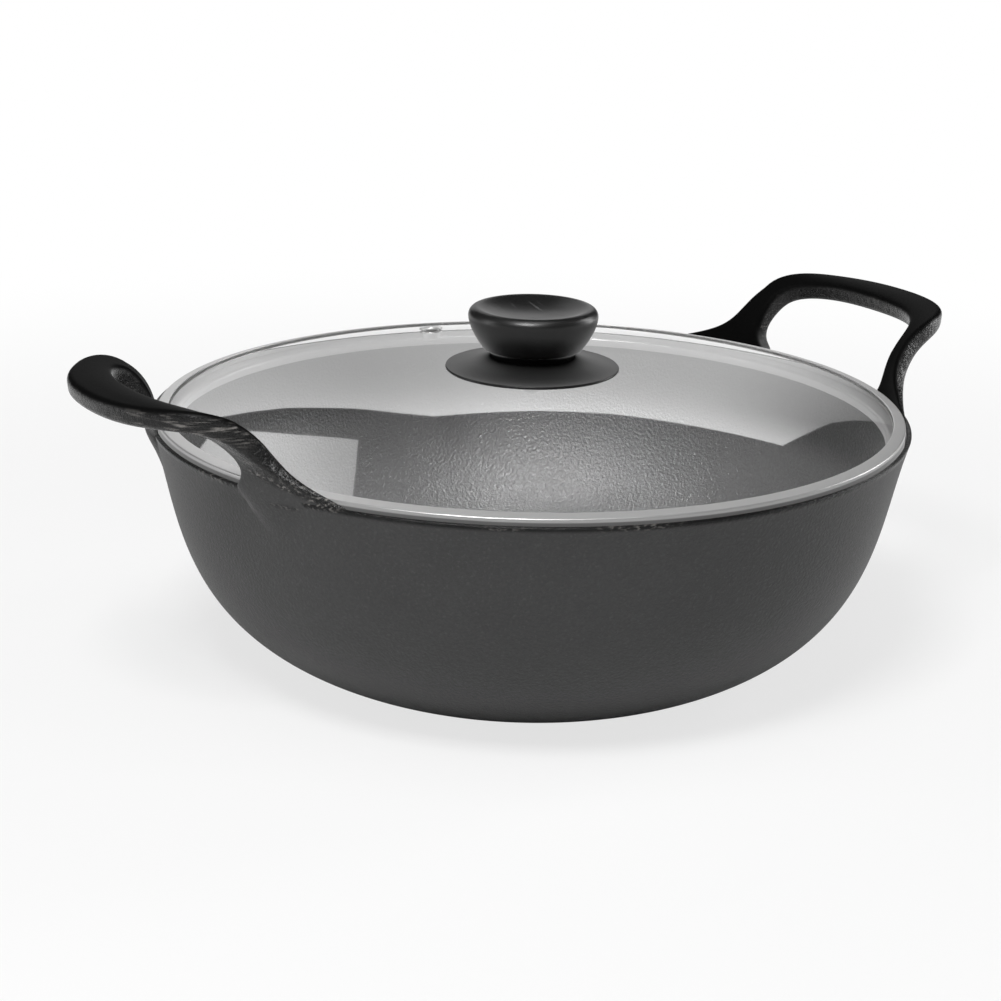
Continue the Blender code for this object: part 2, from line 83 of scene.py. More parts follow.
FADE_LEFT = 0.15
BUTTRESS_DROP = 0.027
BUTTRESS_SHIFT = 0.0045
BUTTRESS_FADE_POWER = 1.6
BUTTRESS_SLOPE = 0.011
BUTTRESS_SLOPE_DROP = 0.0108
OUTER_DROP_LOST = 0.85

DOME_RADIUS = 0.600
GLASS_THICKNESS = 0.0032
GLASS_HOLE_RADIUS = 0.0040
GLASS_EDGE_PLAY = 0.0005
LID_PLAY = 0.0005
BAND_SHEET = 0.0006
BAND_LIP_WIDTH = 0.0044
BAND_BEAD_ROUND = 0.0006
SKIRT_INSET = 0.0063
SKIRT_DEPTH = 0.0030
VENT_INSET = 0.0406
VENT_ANGLE = math.radians(83.0)
VENT_HOLE_RADIUS = 0.0040
VENT_BORE = 0.0026
VENT_FLANGE = 0.0046
VENT_FLANGE_THICKNESS = 0.0008

SCREW_RADIUS = 0.0025
SCREW_HEAD_RADIUS = 0.0048
SCREW_HEAD_HEIGHT = 0.0028
SCREW_REACH = 0.0072
DRIVE_LENGTH = 0.0050
DRIVE_WIDTH = 0.0010
DRIVE_DEPTH = 0.0014
WASHER_RADIUS = 0.0085
WASHER_THICKNESS = 0.0010
GASKET_RADIUS = 0.0075
GASKET_THICKNESS = 0.0010
SEAL_RADIUS = 0.0120
SEAL_THICKNESS = 0.0010
FLANGE_RADIUS = 0.0320
FLANGE_EDGE = 0.0010
COLLAR_RADIUS = 0.0155
COLLAR_HEIGHT = 0.0026
HEAD_RADIUS = 0.0239
HEAD_HEIGHT = 0.0184
CREST_RADIUS = 0.0208
CREST_DROP = 0.0033
SHOULDER_RADIUS = 0.0185
SHOULDER_DROP = 0.0150
DISH_DEPTH = 0.0040
DISH_RADIUS = 0.0193
DISH_POWER = 2.4
SIDE_POWER = 1.65
INSERT_RADIUS = 0.0040
INSERT_LENGTH = 0.0092

LEDGE_Z = POT_HEIGHT - LEDGE_DEPTH
LIP_INNER_RADIUS = RIM_RADIUS - LIP_THICKNESS
BAND_RADIUS = LIP_INNER_RADIUS - LID_PLAY
BAND_BOTTOM = LEDGE_Z + GAP
FLANGE_TOP = BAND_BOTTOM + BAND_SHEET
GLASS_RADIUS = BAND_RADIUS - BAND_SHEET - GLASS_EDGE_PLAY
DOME_INNER_RADIUS = DOME_RADIUS - GLASS_THICKNESS
DOME_CENTRE_Z = FLANGE_TOP + GAP - math.sqrt(DOME_INNER_RADIUS**2 - GLASS_RADIUS**2)
GLASS_TOP = DOME_CENTRE_Z + DOME_RADIUS
GLASS_UNDERSIDE = DOME_CENTRE_Z + DOME_INNER_RADIUS
SKIRT_RADIUS = BAND_RADIUS - SKIRT_INSET
VENT_OFFSET = BAND_RADIUS - VENT_INSET
SHEET_RADIUS = LIP_INNER_RADIUS + 0.5 * GAP

# How finely the pieces are turned and lofted
POT_STEPS = 288
LID_STEPS = 256
KNOB_STEPS = 128
SMALL_STEPS = 64
CORNER_STEPS = 6
SMALL_CORNER_STEPS = 4
GLASS_RINGS = 40
FLANGE_STEPS = 24
HALVINGS = 40               # of the wall's curve

# Edges that turn more than this are drawn sharp
SHARP = math.radians(40.0)
FLANGE_SHARP = math.radians(35.0)
GRIP_SHARP = math.radians(50.0)


# Shapes of the casting, as in the CAD model
def ease(share):
    share = min(max(share, 0.0), 1.0)
    return share * share * (3.0 - 2.0 * share)


def wall_curve(share):
    """Point and outward normal (radius, height) of the outer wall, 0 at the base, 1 at the rim."""
    start = Vector((BASE_RADIUS, 0.0))
    end = Vector((RIM_RADIUS, POT_HEIGHT))
    pull_a = start + FOOT_SWEEP * Vector((math.cos(FOOT_ANGLE), math.sin(FOOT_ANGLE)))
    pull_b = end - RIM_SWEEP * Vector((math.sin(RIM_FLARE), math.cos(RIM_FLARE)))
    rest = 1.0 - share
    point = (rest**3 * start + 3.0 * rest**2 * share * pull_a
             + 3.0 * rest * share**2 * pull_b + share**3 * end)
    along = (rest**2 * (pull_a - start) + 2.0 * rest * share * (pull_b - pull_a)
             + share**2 * (end - pull_b)).normalized()
    return point, Vector((along.y, -along.x))


def wall_radius(height):
    """Outer radius of the wall at a height, found by halving the curve's range."""
    low, high = 0.0, 1.0
    for _ in range(HALVINGS):
        middle = 0.5 * (low + high)
        if wall_curve(middle)[0].y < height:
            low = middle
        else:
            high = middle
    return wall_curve(low)[0].x


def sheet_path(along):
    """Reach, rise and slope of the handle's upper face at a distance from the rim."""
    slope = HANDLE_LEAN
    reach = SHEET_RADIUS + min(along, ARM_RISE) * math.cos(slope)
    rise = POT_HEIGHT + min(along, ARM_RISE) * math.sin(slope)
    bend = BEND_RADIUS * (HANDLE_LEAN - HANDLE_TIP_SLOPE)
    turned_by = min(max(along - ARM_RISE, 0.0), bend)
    slope = HANDLE_LEAN - turned_by / BEND_RADIUS
    reach += BEND_RADIUS * (math.sin(HANDLE_LEAN) - math.sin(slope))
    rise += BEND_RADIUS * (math.cos(slope) - math.cos(HANDLE_LEAN))
    straight = max(along - ARM_RISE - bend, 0.0)
    reach += straight * math.cos(slope)
    rise += straight * math.sin(slope)
    return reach, rise, slope


def sheet_point(side, along, depth):
    """Point of the handle: side and distance along its face, depth below that face."""
    reach, rise, slope = sheet_path(along)
    reach += depth * math.sin(slope)
    rise -= depth * math.cos(slope)
    bow = 1.0 + PLAN_BOW * min(along / BOW_LENGTH, 1.0)
    forward = reach - bow * (reach - math.sqrt(reach**2 - side**2))
    return Vector((forward, side, rise))


def local_thickness(side, along):
    """The arms are as thin as the wall at the rim, and thinner still where they flare out."""
    fade = ease((abs(side) - FADE_START) / (FLARE_HALF_WIDTH - FADE_START))
    kept = 1.0 - (1.0 - FADE_LEFT) * fade * (1.0 - ease(along / FADE_LENGTH))
    grown = ROOT_THICKNESS + (HANDLE_THICKNESS - ROOT_THICKNESS) * ease(along / THICKEN_LENGTH)
    return grown * kept


def outer_outline(share):
    along = CORNER_START * share
    flare = (FLARE_HALF_WIDTH - ARM_HALF_WIDTH) * math.exp(-(along / FLARE_LENGTH) ** FLARE_POWER)
    side = ARM_HALF_WIDTH + (CORNER_HALF_WIDTH - ARM_HALF_WIDTH) * share + flare
    return side, along


def hole_outline(share):
    along = HOLE_CORNER_START * share
    flare = HOLE_FOOT_FLARE * math.exp(-(along / HOLE_FOOT_LENGTH) ** FLARE_POWER)
    return HOLE_HALF_WIDTH - flare, along


def corner(turn, half_width, start, end, power):
    """Rounded corner of an outline, from the arm (turn 0) to the middle of the grip (turn 1)."""
    angle = 0.5 * math.pi * turn
    side = half_width * max(math.cos(angle), 0.0) ** (2.0 / power)
    along = start + (end - start) * math.sin(angle) ** (2.0 / power)
    return (0.0 if turn == 1.0 else side), along


def buttress_keep(across, side, drop):
    """Share of the arm's height above the wall that is left at a drop below the rim."""
    outward = ease((side - FADE_START) / (FLARE_HALF_WIDTH - FADE_START))
    reach = BUTTRESS_DROP * (1.0 - OUTER_DROP_LOST * outward)
    keep = max(1.0 - drop / reach, 0.0) ** BUTTRESS_FADE_POWER
    slope = BUTTRESS_SLOPE * min(drop / BUTTRESS_SLOPE_DROP, 1.0)
    return keep * ease(across / slope)


def dome_height(radius, sphere=DOME_RADIUS):
    return DOME_CENTRE_Z + math.sqrt(sphere**2 - radius**2)


# Mesh helpers
def softened(points, closed=False, steps=CORNER_STEPS):
    """Points (radius, height[, rounding]) with each named rounding turned into a short curve."""
    out = []
    count = len(points)
    for i, point in enumerate(points):
        here = Vector(point[:2])
        rounding = point[2] if len(point) > 2 else 0.0
        at_end = not closed and i in (0, count - 1)
        if rounding == 0.0 or at_end:
            out.append((here.x, here.y))
            continue
        before = Vector(points[i - 1][:2]) - here
        after = Vector(points[(i + 1) % count][:2]) - here
        start = here + before.normalized() * min(rounding, 0.49 * before.length)
        end = here + after.normalized() * min(rounding, 0.49 * after.length)
        for step in range(steps + 1):
            t = step / steps
            p = (1.0 - t) ** 2 * start + 2.0 * t * (1.0 - t) * here + t**2 * end
            out.append((p.x, p.y))
    return out


def lathe(name, profile, steps, closed=False):
    """A profile that runs up the inside or down the outside, spun round Z in quads."""
    shape = bmesh.new()
    rings = []
    for radius, height in profile:
        if radius < 1e-7:
            rings.append([shape.verts.new((0.0, 0.0, height))])
            continue
        ring = []
        for step in range(steps):
            angle = math.tau * step / steps
            x, y = radius * math.cos(angle), radius * math.sin(angle)
            ring.append(shape.verts.new((x, y, height)))
        rings.append(ring)
    pairs = list(zip(rings, rings[1:]))
    if closed:
        pairs.append((rings[-1], rings[0]))
    for one, two in pairs:
        for step in range(steps):
            following = (step + 1) % steps
            corners = [one[step % len(one)], one[following % len(one)],
                       two[following % len(two)], two[step % len(two)]]
            corners = list(dict.fromkeys(corners))
            if len(corners) > 2:
                shape.faces.new(corners)
    bmesh.ops.recalc_face_normals(shape, faces=shape.faces)
    return mesh_object(name, shape)


def rounded_ring(name, profile, steps, sharp=SHARP, corner_steps=CORNER_STEPS):
    thing = lathe(name, softened(profile, True, corner_steps), steps, closed=True)
    thing.data.set_sharp_from_angle(angle=sharp)
    return thing


def linked(name, data):
    thing = bpy.data.objects.new(name, data)
    bpy.context.scene.collection.objects.link(thing)
    return thing


def mesh_object(name, shape):
    mesh = bpy.data.meshes.new(name)
    shape.to_mesh(mesh)
    shape.free()
    mesh.shade_smooth()
    return linked(name, mesh)


def bake_modifiers(thing):
    """Turns the object's modifiers into its mesh."""
    graph = bpy.context.evaluated_depsgraph_get()
    done = bpy.data.meshes.new_from_object(thing.evaluated_get(graph))
    thing.modifiers.clear()
    old = thing.data
    done.name = old.name
    thing.data = done
    bpy.data.meshes.remove(old)


def combine(thing, others, operation):
    for other in others:
        cut = thing.modifiers.new(other.name, 'BOOLEAN')
        cut.operation = operation
        cut.solver = 'EXACT'
        cut.object = other
    bpy.context.view_layer.update()
    bake_modifiers(thing)
    for other in others:
        bpy.data.objects.remove(other, do_unlink=True)


def wear(thing, body, slot, finish, *nodes):
    """Dresses a piece: its material, the body it rides on and the nodes it stands for. The slot is
    not used.
    """
    thing.data.materials.clear()
    thing.data.materials.append(finish)
    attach(thing, body)
    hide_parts(*nodes)
    return thing


# The pot's casting
BOWL_POINTS = 72
STRAP_ARC_STEPS = 7
STRAP_FLAT_STEPS = 9
ROOT_STATIONS = 16
ARM_STATIONS = 26
GRIP_STATIONS = 26
ARM_SPACING = 1.15          # above 1 the stations are closer together at the rim
KINK_PASSES = 12
KINK_END = 0.057            # half width where the smoothing starts to fade
KINK_FADE = 0.009
ROOT_WIDTH = ARM_HALF_WIDTH - HOLE_HALF_WIDTH
LIP_PAINT_START = POT_HEIGHT - 0.0023
LIP_PAINT_FADE = 0.0007
EDGE_PAINT = 0.0072         # how far the black reaches from the outer edge over the strap's back
EDGE_PAINT_FADE = 0.0040
FACE_PAINT = 0.75           # share of the thickness down to which the sides are black
BARE_SIDE = 0.4             # share of the width beside the hole that is bare near the rim
BARE_END = 0.006            # distance from the rim where the bare part starts to end
BARE_FADE = 0.012
SHARE_FADE = 0.2            # how softly the painted shares end
SMOOTH_DEPTH = 0.05         # share of it that is smooth
SMOOTH_LEDGE = 0.5
SMOOTH_LIP = 0.3


def bowl_profile():
    shares = [(i / BOWL_POINTS) ** WALL_SPACING for i in range(BOWL_POINTS + 1)]
    inner = []
    for share in shares:
        point, normal = wall_curve(share)
        inner.append(point - WALL * normal)
    inner = [p for p in inner if BASE_THICKNESS + 0.10 * WALL < p.y < LEDGE_Z - 0.3 * WALL]
    shoulder = wall_radius(LEDGE_Z) - WALL / math.cos(RIM_FLARE)
    foot = BASE_RADIUS - 0.8 * WALL
    profile = [(0.0, BASE_THICKNESS), (0.5 * foot, BASE_THICKNESS), (foot, BASE_THICKNESS)]
    profile += [(p.x, p.y) for p in inner]
    profile += [
        (shoulder, LEDGE_Z, LIP_ROUND),
        (LIP_INNER_RADIUS, LEDGE_Z, 0.5 * LIP_ROUND),
        (LIP_INNER_RADIUS, POT_HEIGHT, LIP_ROUND),
        (RIM_RADIUS, POT_HEIGHT, 1.4 * LIP_ROUND),
    ]
    profile += [(p.x, p.y) for p in (wall_curve(share)[0] for share in reversed(shares[1:-1]))]
    profile += [(BASE_RADIUS, 0.0, 2.0 * LIP_ROUND), (0.5 * BASE_RADIUS, 0.0), (0.0, 0.0)]
    return softened(profile)


def strap_section(width):
    """Rounded section as (distance from the hole, share of the thickness)."""
    thick = HANDLE_THICKNESS
    r = min(HANDLE_EDGE_ROUND, 0.45 * width, 0.45 * thick)
    points = []
    centres = ((width - r, r), (width - r, thick - r), (r, thick - r), (r, r))
    for quarter, (centre_x, centre_y) in enumerate(centres):
        start = 90.0 * (quarter - 1)
        for step in range(STRAP_ARC_STEPS + 1):
            angle = math.radians(start + 90.0 * step / STRAP_ARC_STEPS)
            points.append((centre_x + r * math.cos(angle), centre_y + r * math.sin(angle)))
    flat = width - 2.0 * r
    shares = [step / (STRAP_FLAT_STEPS + 1) for step in range(1, STRAP_FLAT_STEPS + 1)]
    half = 2 * (STRAP_ARC_STEPS + 1)
    points += [(r + flat * share, 0.0) for share in shares]
    points[half:half] = [(r + flat * share, thick) for share in reversed(shares)]
    return [(x, y / thick) for x, y in points]


def arm_station(outer, hole):
    width = math.dist(outer, hole)
    ring = []
    for across, depth_share in strap_section(width):
        mix = across / width
        side = hole[0] + (outer[0] - hole[0]) * mix
        along = hole[1] + (outer[1] - hole[1]) * mix
        ring.append(sheet_point(side, along, depth_share * local_thickness(side, along)))
    return ring


def root_station(share):
    """One section of the buttress, inside the wall and standing out from it below the rim."""
    drop = LEDGE_DEPTH + 0.5 * GAP + (BUTTRESS_DROP - LEDGE_DEPTH) * share
    height = POT_HEIGHT - drop
    skin = wall_radius(height)
    inside = SHEET_RADIUS if share == 0.0 else skin - 0.5 * WALL
    inner_side = HOLE_HALF_WIDTH - HOLE_FOOT_FLARE + BUTTRESS_SHIFT * share
    width = FLARE_HALF_WIDTH - inner_side
    ring = []
    for across, depth_share in strap_section(width):
        side = inner_side + across
        proud = SHEET_RADIUS + local_thickness(side, 0.0) - RIM_RADIUS
        keep = buttress_keep(across, side, drop)
        outside = max(skin + proud * keep - 2.0 * GAP * (1.0 - keep), inside + GAP)
        radius = inside + (outside - inside) * depth_share
        ring.append(Vector((math.sqrt(radius**2 - side**2), side, height)))
    return ring


def eased_along(rings, passes, depths):
    """Rings with their outer side drawn smooth along the strap, apart from the thin flared ends."""
    for _ in range(passes):
        middle = [[one.copy() for one in ring] for ring in rings]
        for k in range(1, len(rings) - 1):
            for i, depth in enumerate(depths):
                here = rings[k][i]
                inner_part = 1.0 - ease((abs(here.y) - KINK_END) / KINK_FADE)
                mean = 0.5 * (rings[k - 1][i] + rings[k + 1][i])
                middle[k][i] = here.lerp(mean, 0.5 * ease(2.0 * depth - 1.0) * inner_part)
        rings = middle
    return rings


def handle_form(name):
    """A fine strap lofted from one buttress, up an arm, round the grip and down the other arm."""
    shares = [1.0 - k / ROOT_STATIONS for k in range(ROOT_STATIONS + 1)]
    half = [(root_station(share), ROOT_WIDTH, 0.0) for share in shares]
    outlines = []
    for k in range(ARM_STATIONS):
        share = (k / ARM_STATIONS) ** ARM_SPACING
        outlines.append((outer_outline(share), hole_outline(share)))
    for k in range(GRIP_STATIONS + 1):
        turn = k / GRIP_STATIONS
        outlines.append((
            corner(turn, CORNER_HALF_WIDTH, CORNER_START, HANDLE_LENGTH, CORNER_POWER),
            corner(turn, HOLE_HALF_WIDTH, HOLE_CORNER_START, HOLE_LENGTH, HOLE_CORNER_POWER)))
    for outer, hole in outlines:
        half.append((arm_station(outer, hole), math.dist(outer, hole), outer[1]))
    values = []
    for k, (ring, width, along) in enumerate(half):
        for across, depth_share in strap_section(width):
            tint = strap_paint(width - across, across / width, depth_share, along)
            values.append((0.0, 0.0, 0.0) if k < ROOT_STATIONS else tint)
    count = len(half[0][0])
    depths = [depth for _, depth in strap_section(ROOT_WIDTH)]
    rings = [ring for ring, _, _ in half]
    rings += [[Vector((p.x, -p.y, p.z)) for p in ring] for ring in reversed(rings[:-1])]
    for k in reversed(range(len(half) - 1)):
        values += values[k * count:(k + 1) * count]
    rings = eased_along(rings, KINK_PASSES, depths)
    shape = bmesh.new()
    rows = [[shape.verts.new(p) for p in ring] for ring in rings]
    for row, following in zip(rows, rows[1:]):
        for i in range(count):
            j = (i + 1) % count
            shape.faces.new((row[i], row[j], following[j], following[i]))
    shape.faces.new(rows[0])
    shape.faces.new(rows[-1])
    bmesh.ops.recalc_face_normals(shape, faces=shape.faces)
    return mesh_object(name, shape), values


def bowl_paint(point):
    radius = math.hypot(point.x, point.y)
    black = ease((point.z - LIP_PAINT_START) / LIP_PAINT_FADE)
    if radius < LIP_INNER_RADIUS + GAP and point.z > LEDGE_Z - GAP:
        return 1.0, SMOOTH_LEDGE, 0.0
    middle = wall_radius(max(point.z, 0.0)) - 0.6 * WALL
    inside = GAP < point.z < LEDGE_Z + GAP and radius < middle and point.z > 0.5 * BASE_THICKNESS
    return black, SMOOTH_LIP * black, 1.0 if inside else 0.0


def strap_paint(from_edge, across_share, depth_share, along):
    """Black on the face and the edges, body grey on the back away from the outer edge."""
    face = 1.0 - ease((depth_share - FACE_PAINT) / SHARE_FADE)
    hole_side = ease((BARE_SIDE - across_share) / SHARE_FADE) * ease(depth_share / SHARE_FADE)
    face *= 1.0 - hole_side * (1.0 - ease((along - BARE_END) / BARE_FADE))
    edge = 1.0 - ease((from_edge - EDGE_PAINT) / EDGE_PAINT_FADE)
    smooth = 1.0 - ease((depth_share - SMOOTH_DEPTH) / SHARE_FADE)
    return max(face, edge), smooth, 0.0


def paint(mesh, known):
    """Writes where the casting is black, smooth or the inside, from the nearest known point."""
    tree = KDTree(len(known))
    for index, (point, _) in enumerate(known):
        tree.insert(point, index)
    tree.balance()
    values = [known[tree.find(vert.co)[1]][1] for vert in mesh.vertices]
    for k, name in enumerate(("black", "smooth", "inside")):
        layer = mesh.attributes.new(name, 'FLOAT', 'POINT')
        layer.data.foreach_set("value", [value[k] for value in values])


def make_pot(finish):
    pot = lathe("pot_casting", bowl_profile(), POT_STEPS)
    known = [(vert.co.copy(), bowl_paint(vert.co)) for vert in pot.data.vertices]
    right, values = handle_form("right_strap")
    left, _ = handle_form("left_strap")
    left.rotation_euler.z = math.pi
    for vert, value in zip(right.data.vertices, values):
        known.append((vert.co.copy(), value))
        known.append((Vector((-vert.co.x, -vert.co.y, vert.co.z)), value))
    combine(pot, (right, left), 'UNION')
    paint(pot.data, known)
    wear(pot, "pot", "cast_iron", finish, "pot_body")
    pot.data.shade_smooth()
    pot.visible_glossy = False


# The lid
def make_glass(finish):
    span = GLASS_RADIUS - GLASS_HOLE_RADIUS
    radii = [GLASS_HOLE_RADIUS + span * i / GLASS_RINGS for i in range(GLASS_RINGS)]
    edge = 0.25 * GLASS_THICKNESS
    profile = [(r, dome_height(r)) for r in radii]
    shoulder = GLASS_RADIUS - edge
    profile += [
        (shoulder, dome_height(shoulder)),
        (GLASS_RADIUS, dome_height(GLASS_RADIUS) - edge),
        (GLASS_RADIUS, dome_height(GLASS_RADIUS, DOME_INNER_RADIUS) + edge),
        (shoulder, dome_height(shoulder, DOME_INNER_RADIUS)),
    ]
    profile += [(r, dome_height(r, DOME_INNER_RADIUS)) for r in reversed(radii)]
    glass = lathe("lid_dome", profile, LID_STEPS, closed=True)
    half = 4.0 * GLASS_THICKNESS
    rod = [(0.0, half), (VENT_HOLE_RADIUS, half), (VENT_HOLE_RADIUS, -half), (0.0, -half)]
    drill = lathe("drill", rod, SMALL_STEPS)
    drill.matrix_world = vent_frame()
    combine(glass, (drill,), 'DIFFERENCE')
    wear(glass, "lid", "tempered_glass", finish, "lid_glass")
    round_dome(glass.data)
    return glass


def round_dome(mesh):
    """Gives the dome its spheres' normals, so that reflections run smooth past the hole."""
    centre = Vector((0.0, 0.0, DOME_CENTRE_Z))
    near = 0.00001
    level = 0.9
    normals = []
    for face in mesh.polygons:
        for index in face.vertices:
            away = mesh.vertices[index].co - centre
            normal = face.normal.copy()
            if normal.z > level and abs(away.length - DOME_RADIUS) < near:
                normal = away.normalized()
            elif normal.z < -level and abs(away.length - DOME_INNER_RADIUS) < near:
                normal = -away.normalized()
            normals.append(normal)
    mesh.normals_split_custom_set(normals)


def vent_frame():
    tilt = math.asin(VENT_OFFSET / DOME_RADIUS)
    spin = Matrix.Rotation(VENT_ANGLE, 4, 'Z')
    move = Matrix.Translation((VENT_OFFSET, 0.0, dome_height(VENT_OFFSET)))
    return spin @ move @ Matrix.Rotation(tilt, 4, 'Y')


def make_band(finish):
    lip = BAND_RADIUS - BAND_LIP_WIDTH
    shoulder = BAND_RADIUS - 2.0 * BAND_BEAD_ROUND
    inside = BAND_RADIUS - BAND_SHEET
    skirt_inner = SKIRT_RADIUS - BAND_SHEET
    skirt_bottom = BAND_BOTTOM - SKIRT_DEPTH
    bead_top = dome_height(shoulder) + GAP + BAND_SHEET
    fold = 0.4 * BAND_SHEET
    profile = [
        (lip, dome_height(lip) + GAP + BAND_SHEET, fold),
        (shoulder, bead_top, 0.5 * BAND_BEAD_ROUND),
        (BAND_RADIUS, bead_top - 0.4 * BAND_BEAD_ROUND, BAND_BEAD_ROUND),
        (BAND_RADIUS, BAND_BOTTOM, BAND_BEAD_ROUND),
        (SKIRT_RADIUS + BAND_SHEET, BAND_BOTTOM, BAND_SHEET),
        (SKIRT_RADIUS, BAND_BOTTOM - BAND_SHEET, BAND_SHEET),
        (SKIRT_RADIUS, skirt_bottom, fold),
        (skirt_inner, skirt_bottom, fold),
        (skirt_inner, FLANGE_TOP - BAND_SHEET, BAND_SHEET),
        (SKIRT_RADIUS + BAND_SHEET, FLANGE_TOP, BAND_SHEET),
        (inside - 0.5 * BAND_SHEET, FLANGE_TOP),
        (inside, FLANGE_TOP + 0.5 * BAND_SHEET),
        (inside, dome_height(inside) + 0.2 * GAP),
        (inside - BAND_SHEET, dome_height(inside - BAND_SHEET) + GAP),
        (lip, dome_height(lip) + GAP, fold),
    ]
    band = rounded_ring("rim_band", profile, LID_STEPS)
    wear(band, "lid", "stainless_steel", finish, "lid_rim_band")


def make_vent(finish):
    shank = VENT_HOLE_RADIUS - GAP
    top = GAP + VENT_FLANGE_THICKNESS
    under = -GLASS_THICKNESS - GAP
    bottom = under - VENT_FLANGE_THICKNESS
    nose = 0.5 * VENT_FLANGE_THICKNESS
    profile = [
        (VENT_BORE, top, 1.6 * nose),
        (VENT_FLANGE, top, nose),
        (VENT_FLANGE, GAP, 0.3 * nose),
        (shank, GAP),
        (shank, under),
        (VENT_FLANGE, under, 0.3 * nose),
        (VENT_FLANGE, bottom, nose),
        (VENT_BORE, bottom, nose),
    ]
    vent = rounded_ring("vent_eyelet", profile, SMALL_STEPS)
    vent.data.transform(vent_frame())
    wear(vent, "lid", "stainless_steel", finish, "steam_vent")


def ring_piece(name, inner, outer, bottom, thickness, rounding, slot, finish, node):
    top = bottom + thickness
    profile = [(inner, top, rounding), (outer, top, rounding),
               (outer, bottom, rounding), (inner, bottom, rounding)]
    ring = rounded_ring(name, profile, SMALL_STEPS, corner_steps=SMALL_CORNER_STEPS)
    return wear(ring, "lid", slot, finish, node)


# The knob and its fixing
HEAD_CURVE_POINTS = 14
FLANGE_POWER = 1.5          # how the flange flares, from 1 for a plain cone
COLLAR_STEP = 0.0001
SLEEVE_ROUND = 0.0003
THREAD_PITCH = 0.0008
THREAD_DEPTH = 0.0002


def knob_head_outline(crest, bottom):
    """Outer half section of the knob's head, from the dish's middle down to the collar."""
    steps = range(1, HEAD_CURVE_POINTS + 1)
    shares = [i / HEAD_CURVE_POINTS for i in steps]
    turns = [0.5 * math.pi * i / HEAD_CURVE_POINTS for i in steps]
    shoulder = crest - SHOULDER_DROP
    outline = [(0.0, crest - DISH_DEPTH)]
    outline += [(DISH_RADIUS * out, crest - DISH_DEPTH * (1.0 - 0.9 * out**DISH_POWER))
                for out in shares]
    outline += [(0.4 * DISH_RADIUS + 0.6 * CREST_RADIUS, crest - 0.02 * DISH_DEPTH),
                (CREST_RADIUS, crest)]
    outline += [(CREST_RADIUS + (HEAD_RADIUS - CREST_RADIUS) * math.sin(turn),
                 crest - CREST_DROP * (1.0 - math.cos(turn))) for turn in turns]
    outline += [(HEAD_RADIUS - (HEAD_RADIUS - SHOULDER_RADIUS) * down**SIDE_POWER,
                 crest - CREST_DROP - (SHOULDER_DROP - CREST_DROP) * down) for down in shares]
    outline += [(SHOULDER_RADIUS - (SHOULDER_RADIUS - COLLAR_RADIUS) * math.sin(turn),
                 shoulder - (shoulder - bottom) * (1.0 - 0.9 * math.cos(turn))) for turn in turns]
    return outline


def make_knob(plastic, rubber, brass, steel):
    bore = SCREW_RADIUS + GAP
    seal_bottom = GLASS_TOP + GAP
    ring_piece("seal_ring", GLASS_HOLE_RADIUS, SEAL_RADIUS, seal_bottom, SEAL_THICKNESS,
               0.3 * SEAL_THICKNESS, "silicone", rubber, "knob_seal")

    base_bottom = seal_bottom + SEAL_THICKNESS + GAP
    edge_bottom = dome_height(FLANGE_RADIUS) + 2.0 * GAP
    base_top = base_bottom + COLLAR_HEIGHT
    rise = base_top - edge_bottom - FLANGE_EDGE
    sweep = FLANGE_RADIUS - COLLAR_RADIUS
    base = [(bore, base_top), (COLLAR_RADIUS, base_top)]
    for i in range(1, FLANGE_STEPS):
        out = i / FLANGE_STEPS
        fall = rise * (1.0 - (1.0 - out) ** FLANGE_POWER)
        base.append((COLLAR_RADIUS + sweep * out, base_top - fall))
    base += [
        (FLANGE_RADIUS, base_top - rise, 0.6 * FLANGE_EDGE),
        (FLANGE_RADIUS, edge_bottom, 0.6 * FLANGE_EDGE),
        (FLANGE_RADIUS - FLANGE_EDGE, edge_bottom),
        (SEAL_RADIUS + 2.0 * FLANGE_EDGE, base_bottom, FLANGE_EDGE),
        (bore, base_bottom),
    ]
    flange = rounded_ring("knob_flange", base, KNOB_STEPS, FLANGE_SHARP)
    wear(flange, "lid", "phenolic_plastic", plastic, "knob_base")
    flange.visible_glossy = False

    head_bottom = base_top + GAP
    pocket_top = head_bottom + GAP + INSERT_LENGTH + GAP
    crest = head_bottom + HEAD_HEIGHT
    head = knob_head_outline(crest, head_bottom) + [
        (COLLAR_RADIUS - COLLAR_STEP, head_bottom),
        (INSERT_RADIUS + GAP, head_bottom),
        (INSERT_RADIUS + GAP, pocket_top),
        (0.0, pocket_top),
    ]
    grip = lathe("knob_grip", head, KNOB_STEPS)
    grip.data.set_sharp_from_angle(angle=GRIP_SHARP)
    wear(grip, "lid", "phenolic_plastic", plastic, "knob_head")
    grip.visible_glossy = False

    sleeve = ring_piece("brass_sleeve", bore, INSERT_RADIUS, head_bottom + GAP, INSERT_LENGTH,
                        SLEEVE_ROUND, "brass", brass, "knob_insert")
    sleeve.visible_glossy = False
    gasket_bottom = GLASS_UNDERSIDE - GAP - GASKET_THICKNESS
    ring_piece("gasket_ring", bore, GASKET_RADIUS, gasket_bottom, GASKET_THICKNESS,
               0.3 * GASKET_THICKNESS, "silicone", rubber, "glass_gasket")
    washer_bottom = gasket_bottom - GAP - WASHER_THICKNESS
    ring_piece("washer_ring", bore, WASHER_RADIUS, washer_bottom, WASHER_THICKNESS,
               0.2 * WASHER_THICKNESS, "stainless_steel", steel, "screw_washer")
    make_screw(steel, washer_bottom - GAP, head_bottom + GAP + SCREW_REACH)


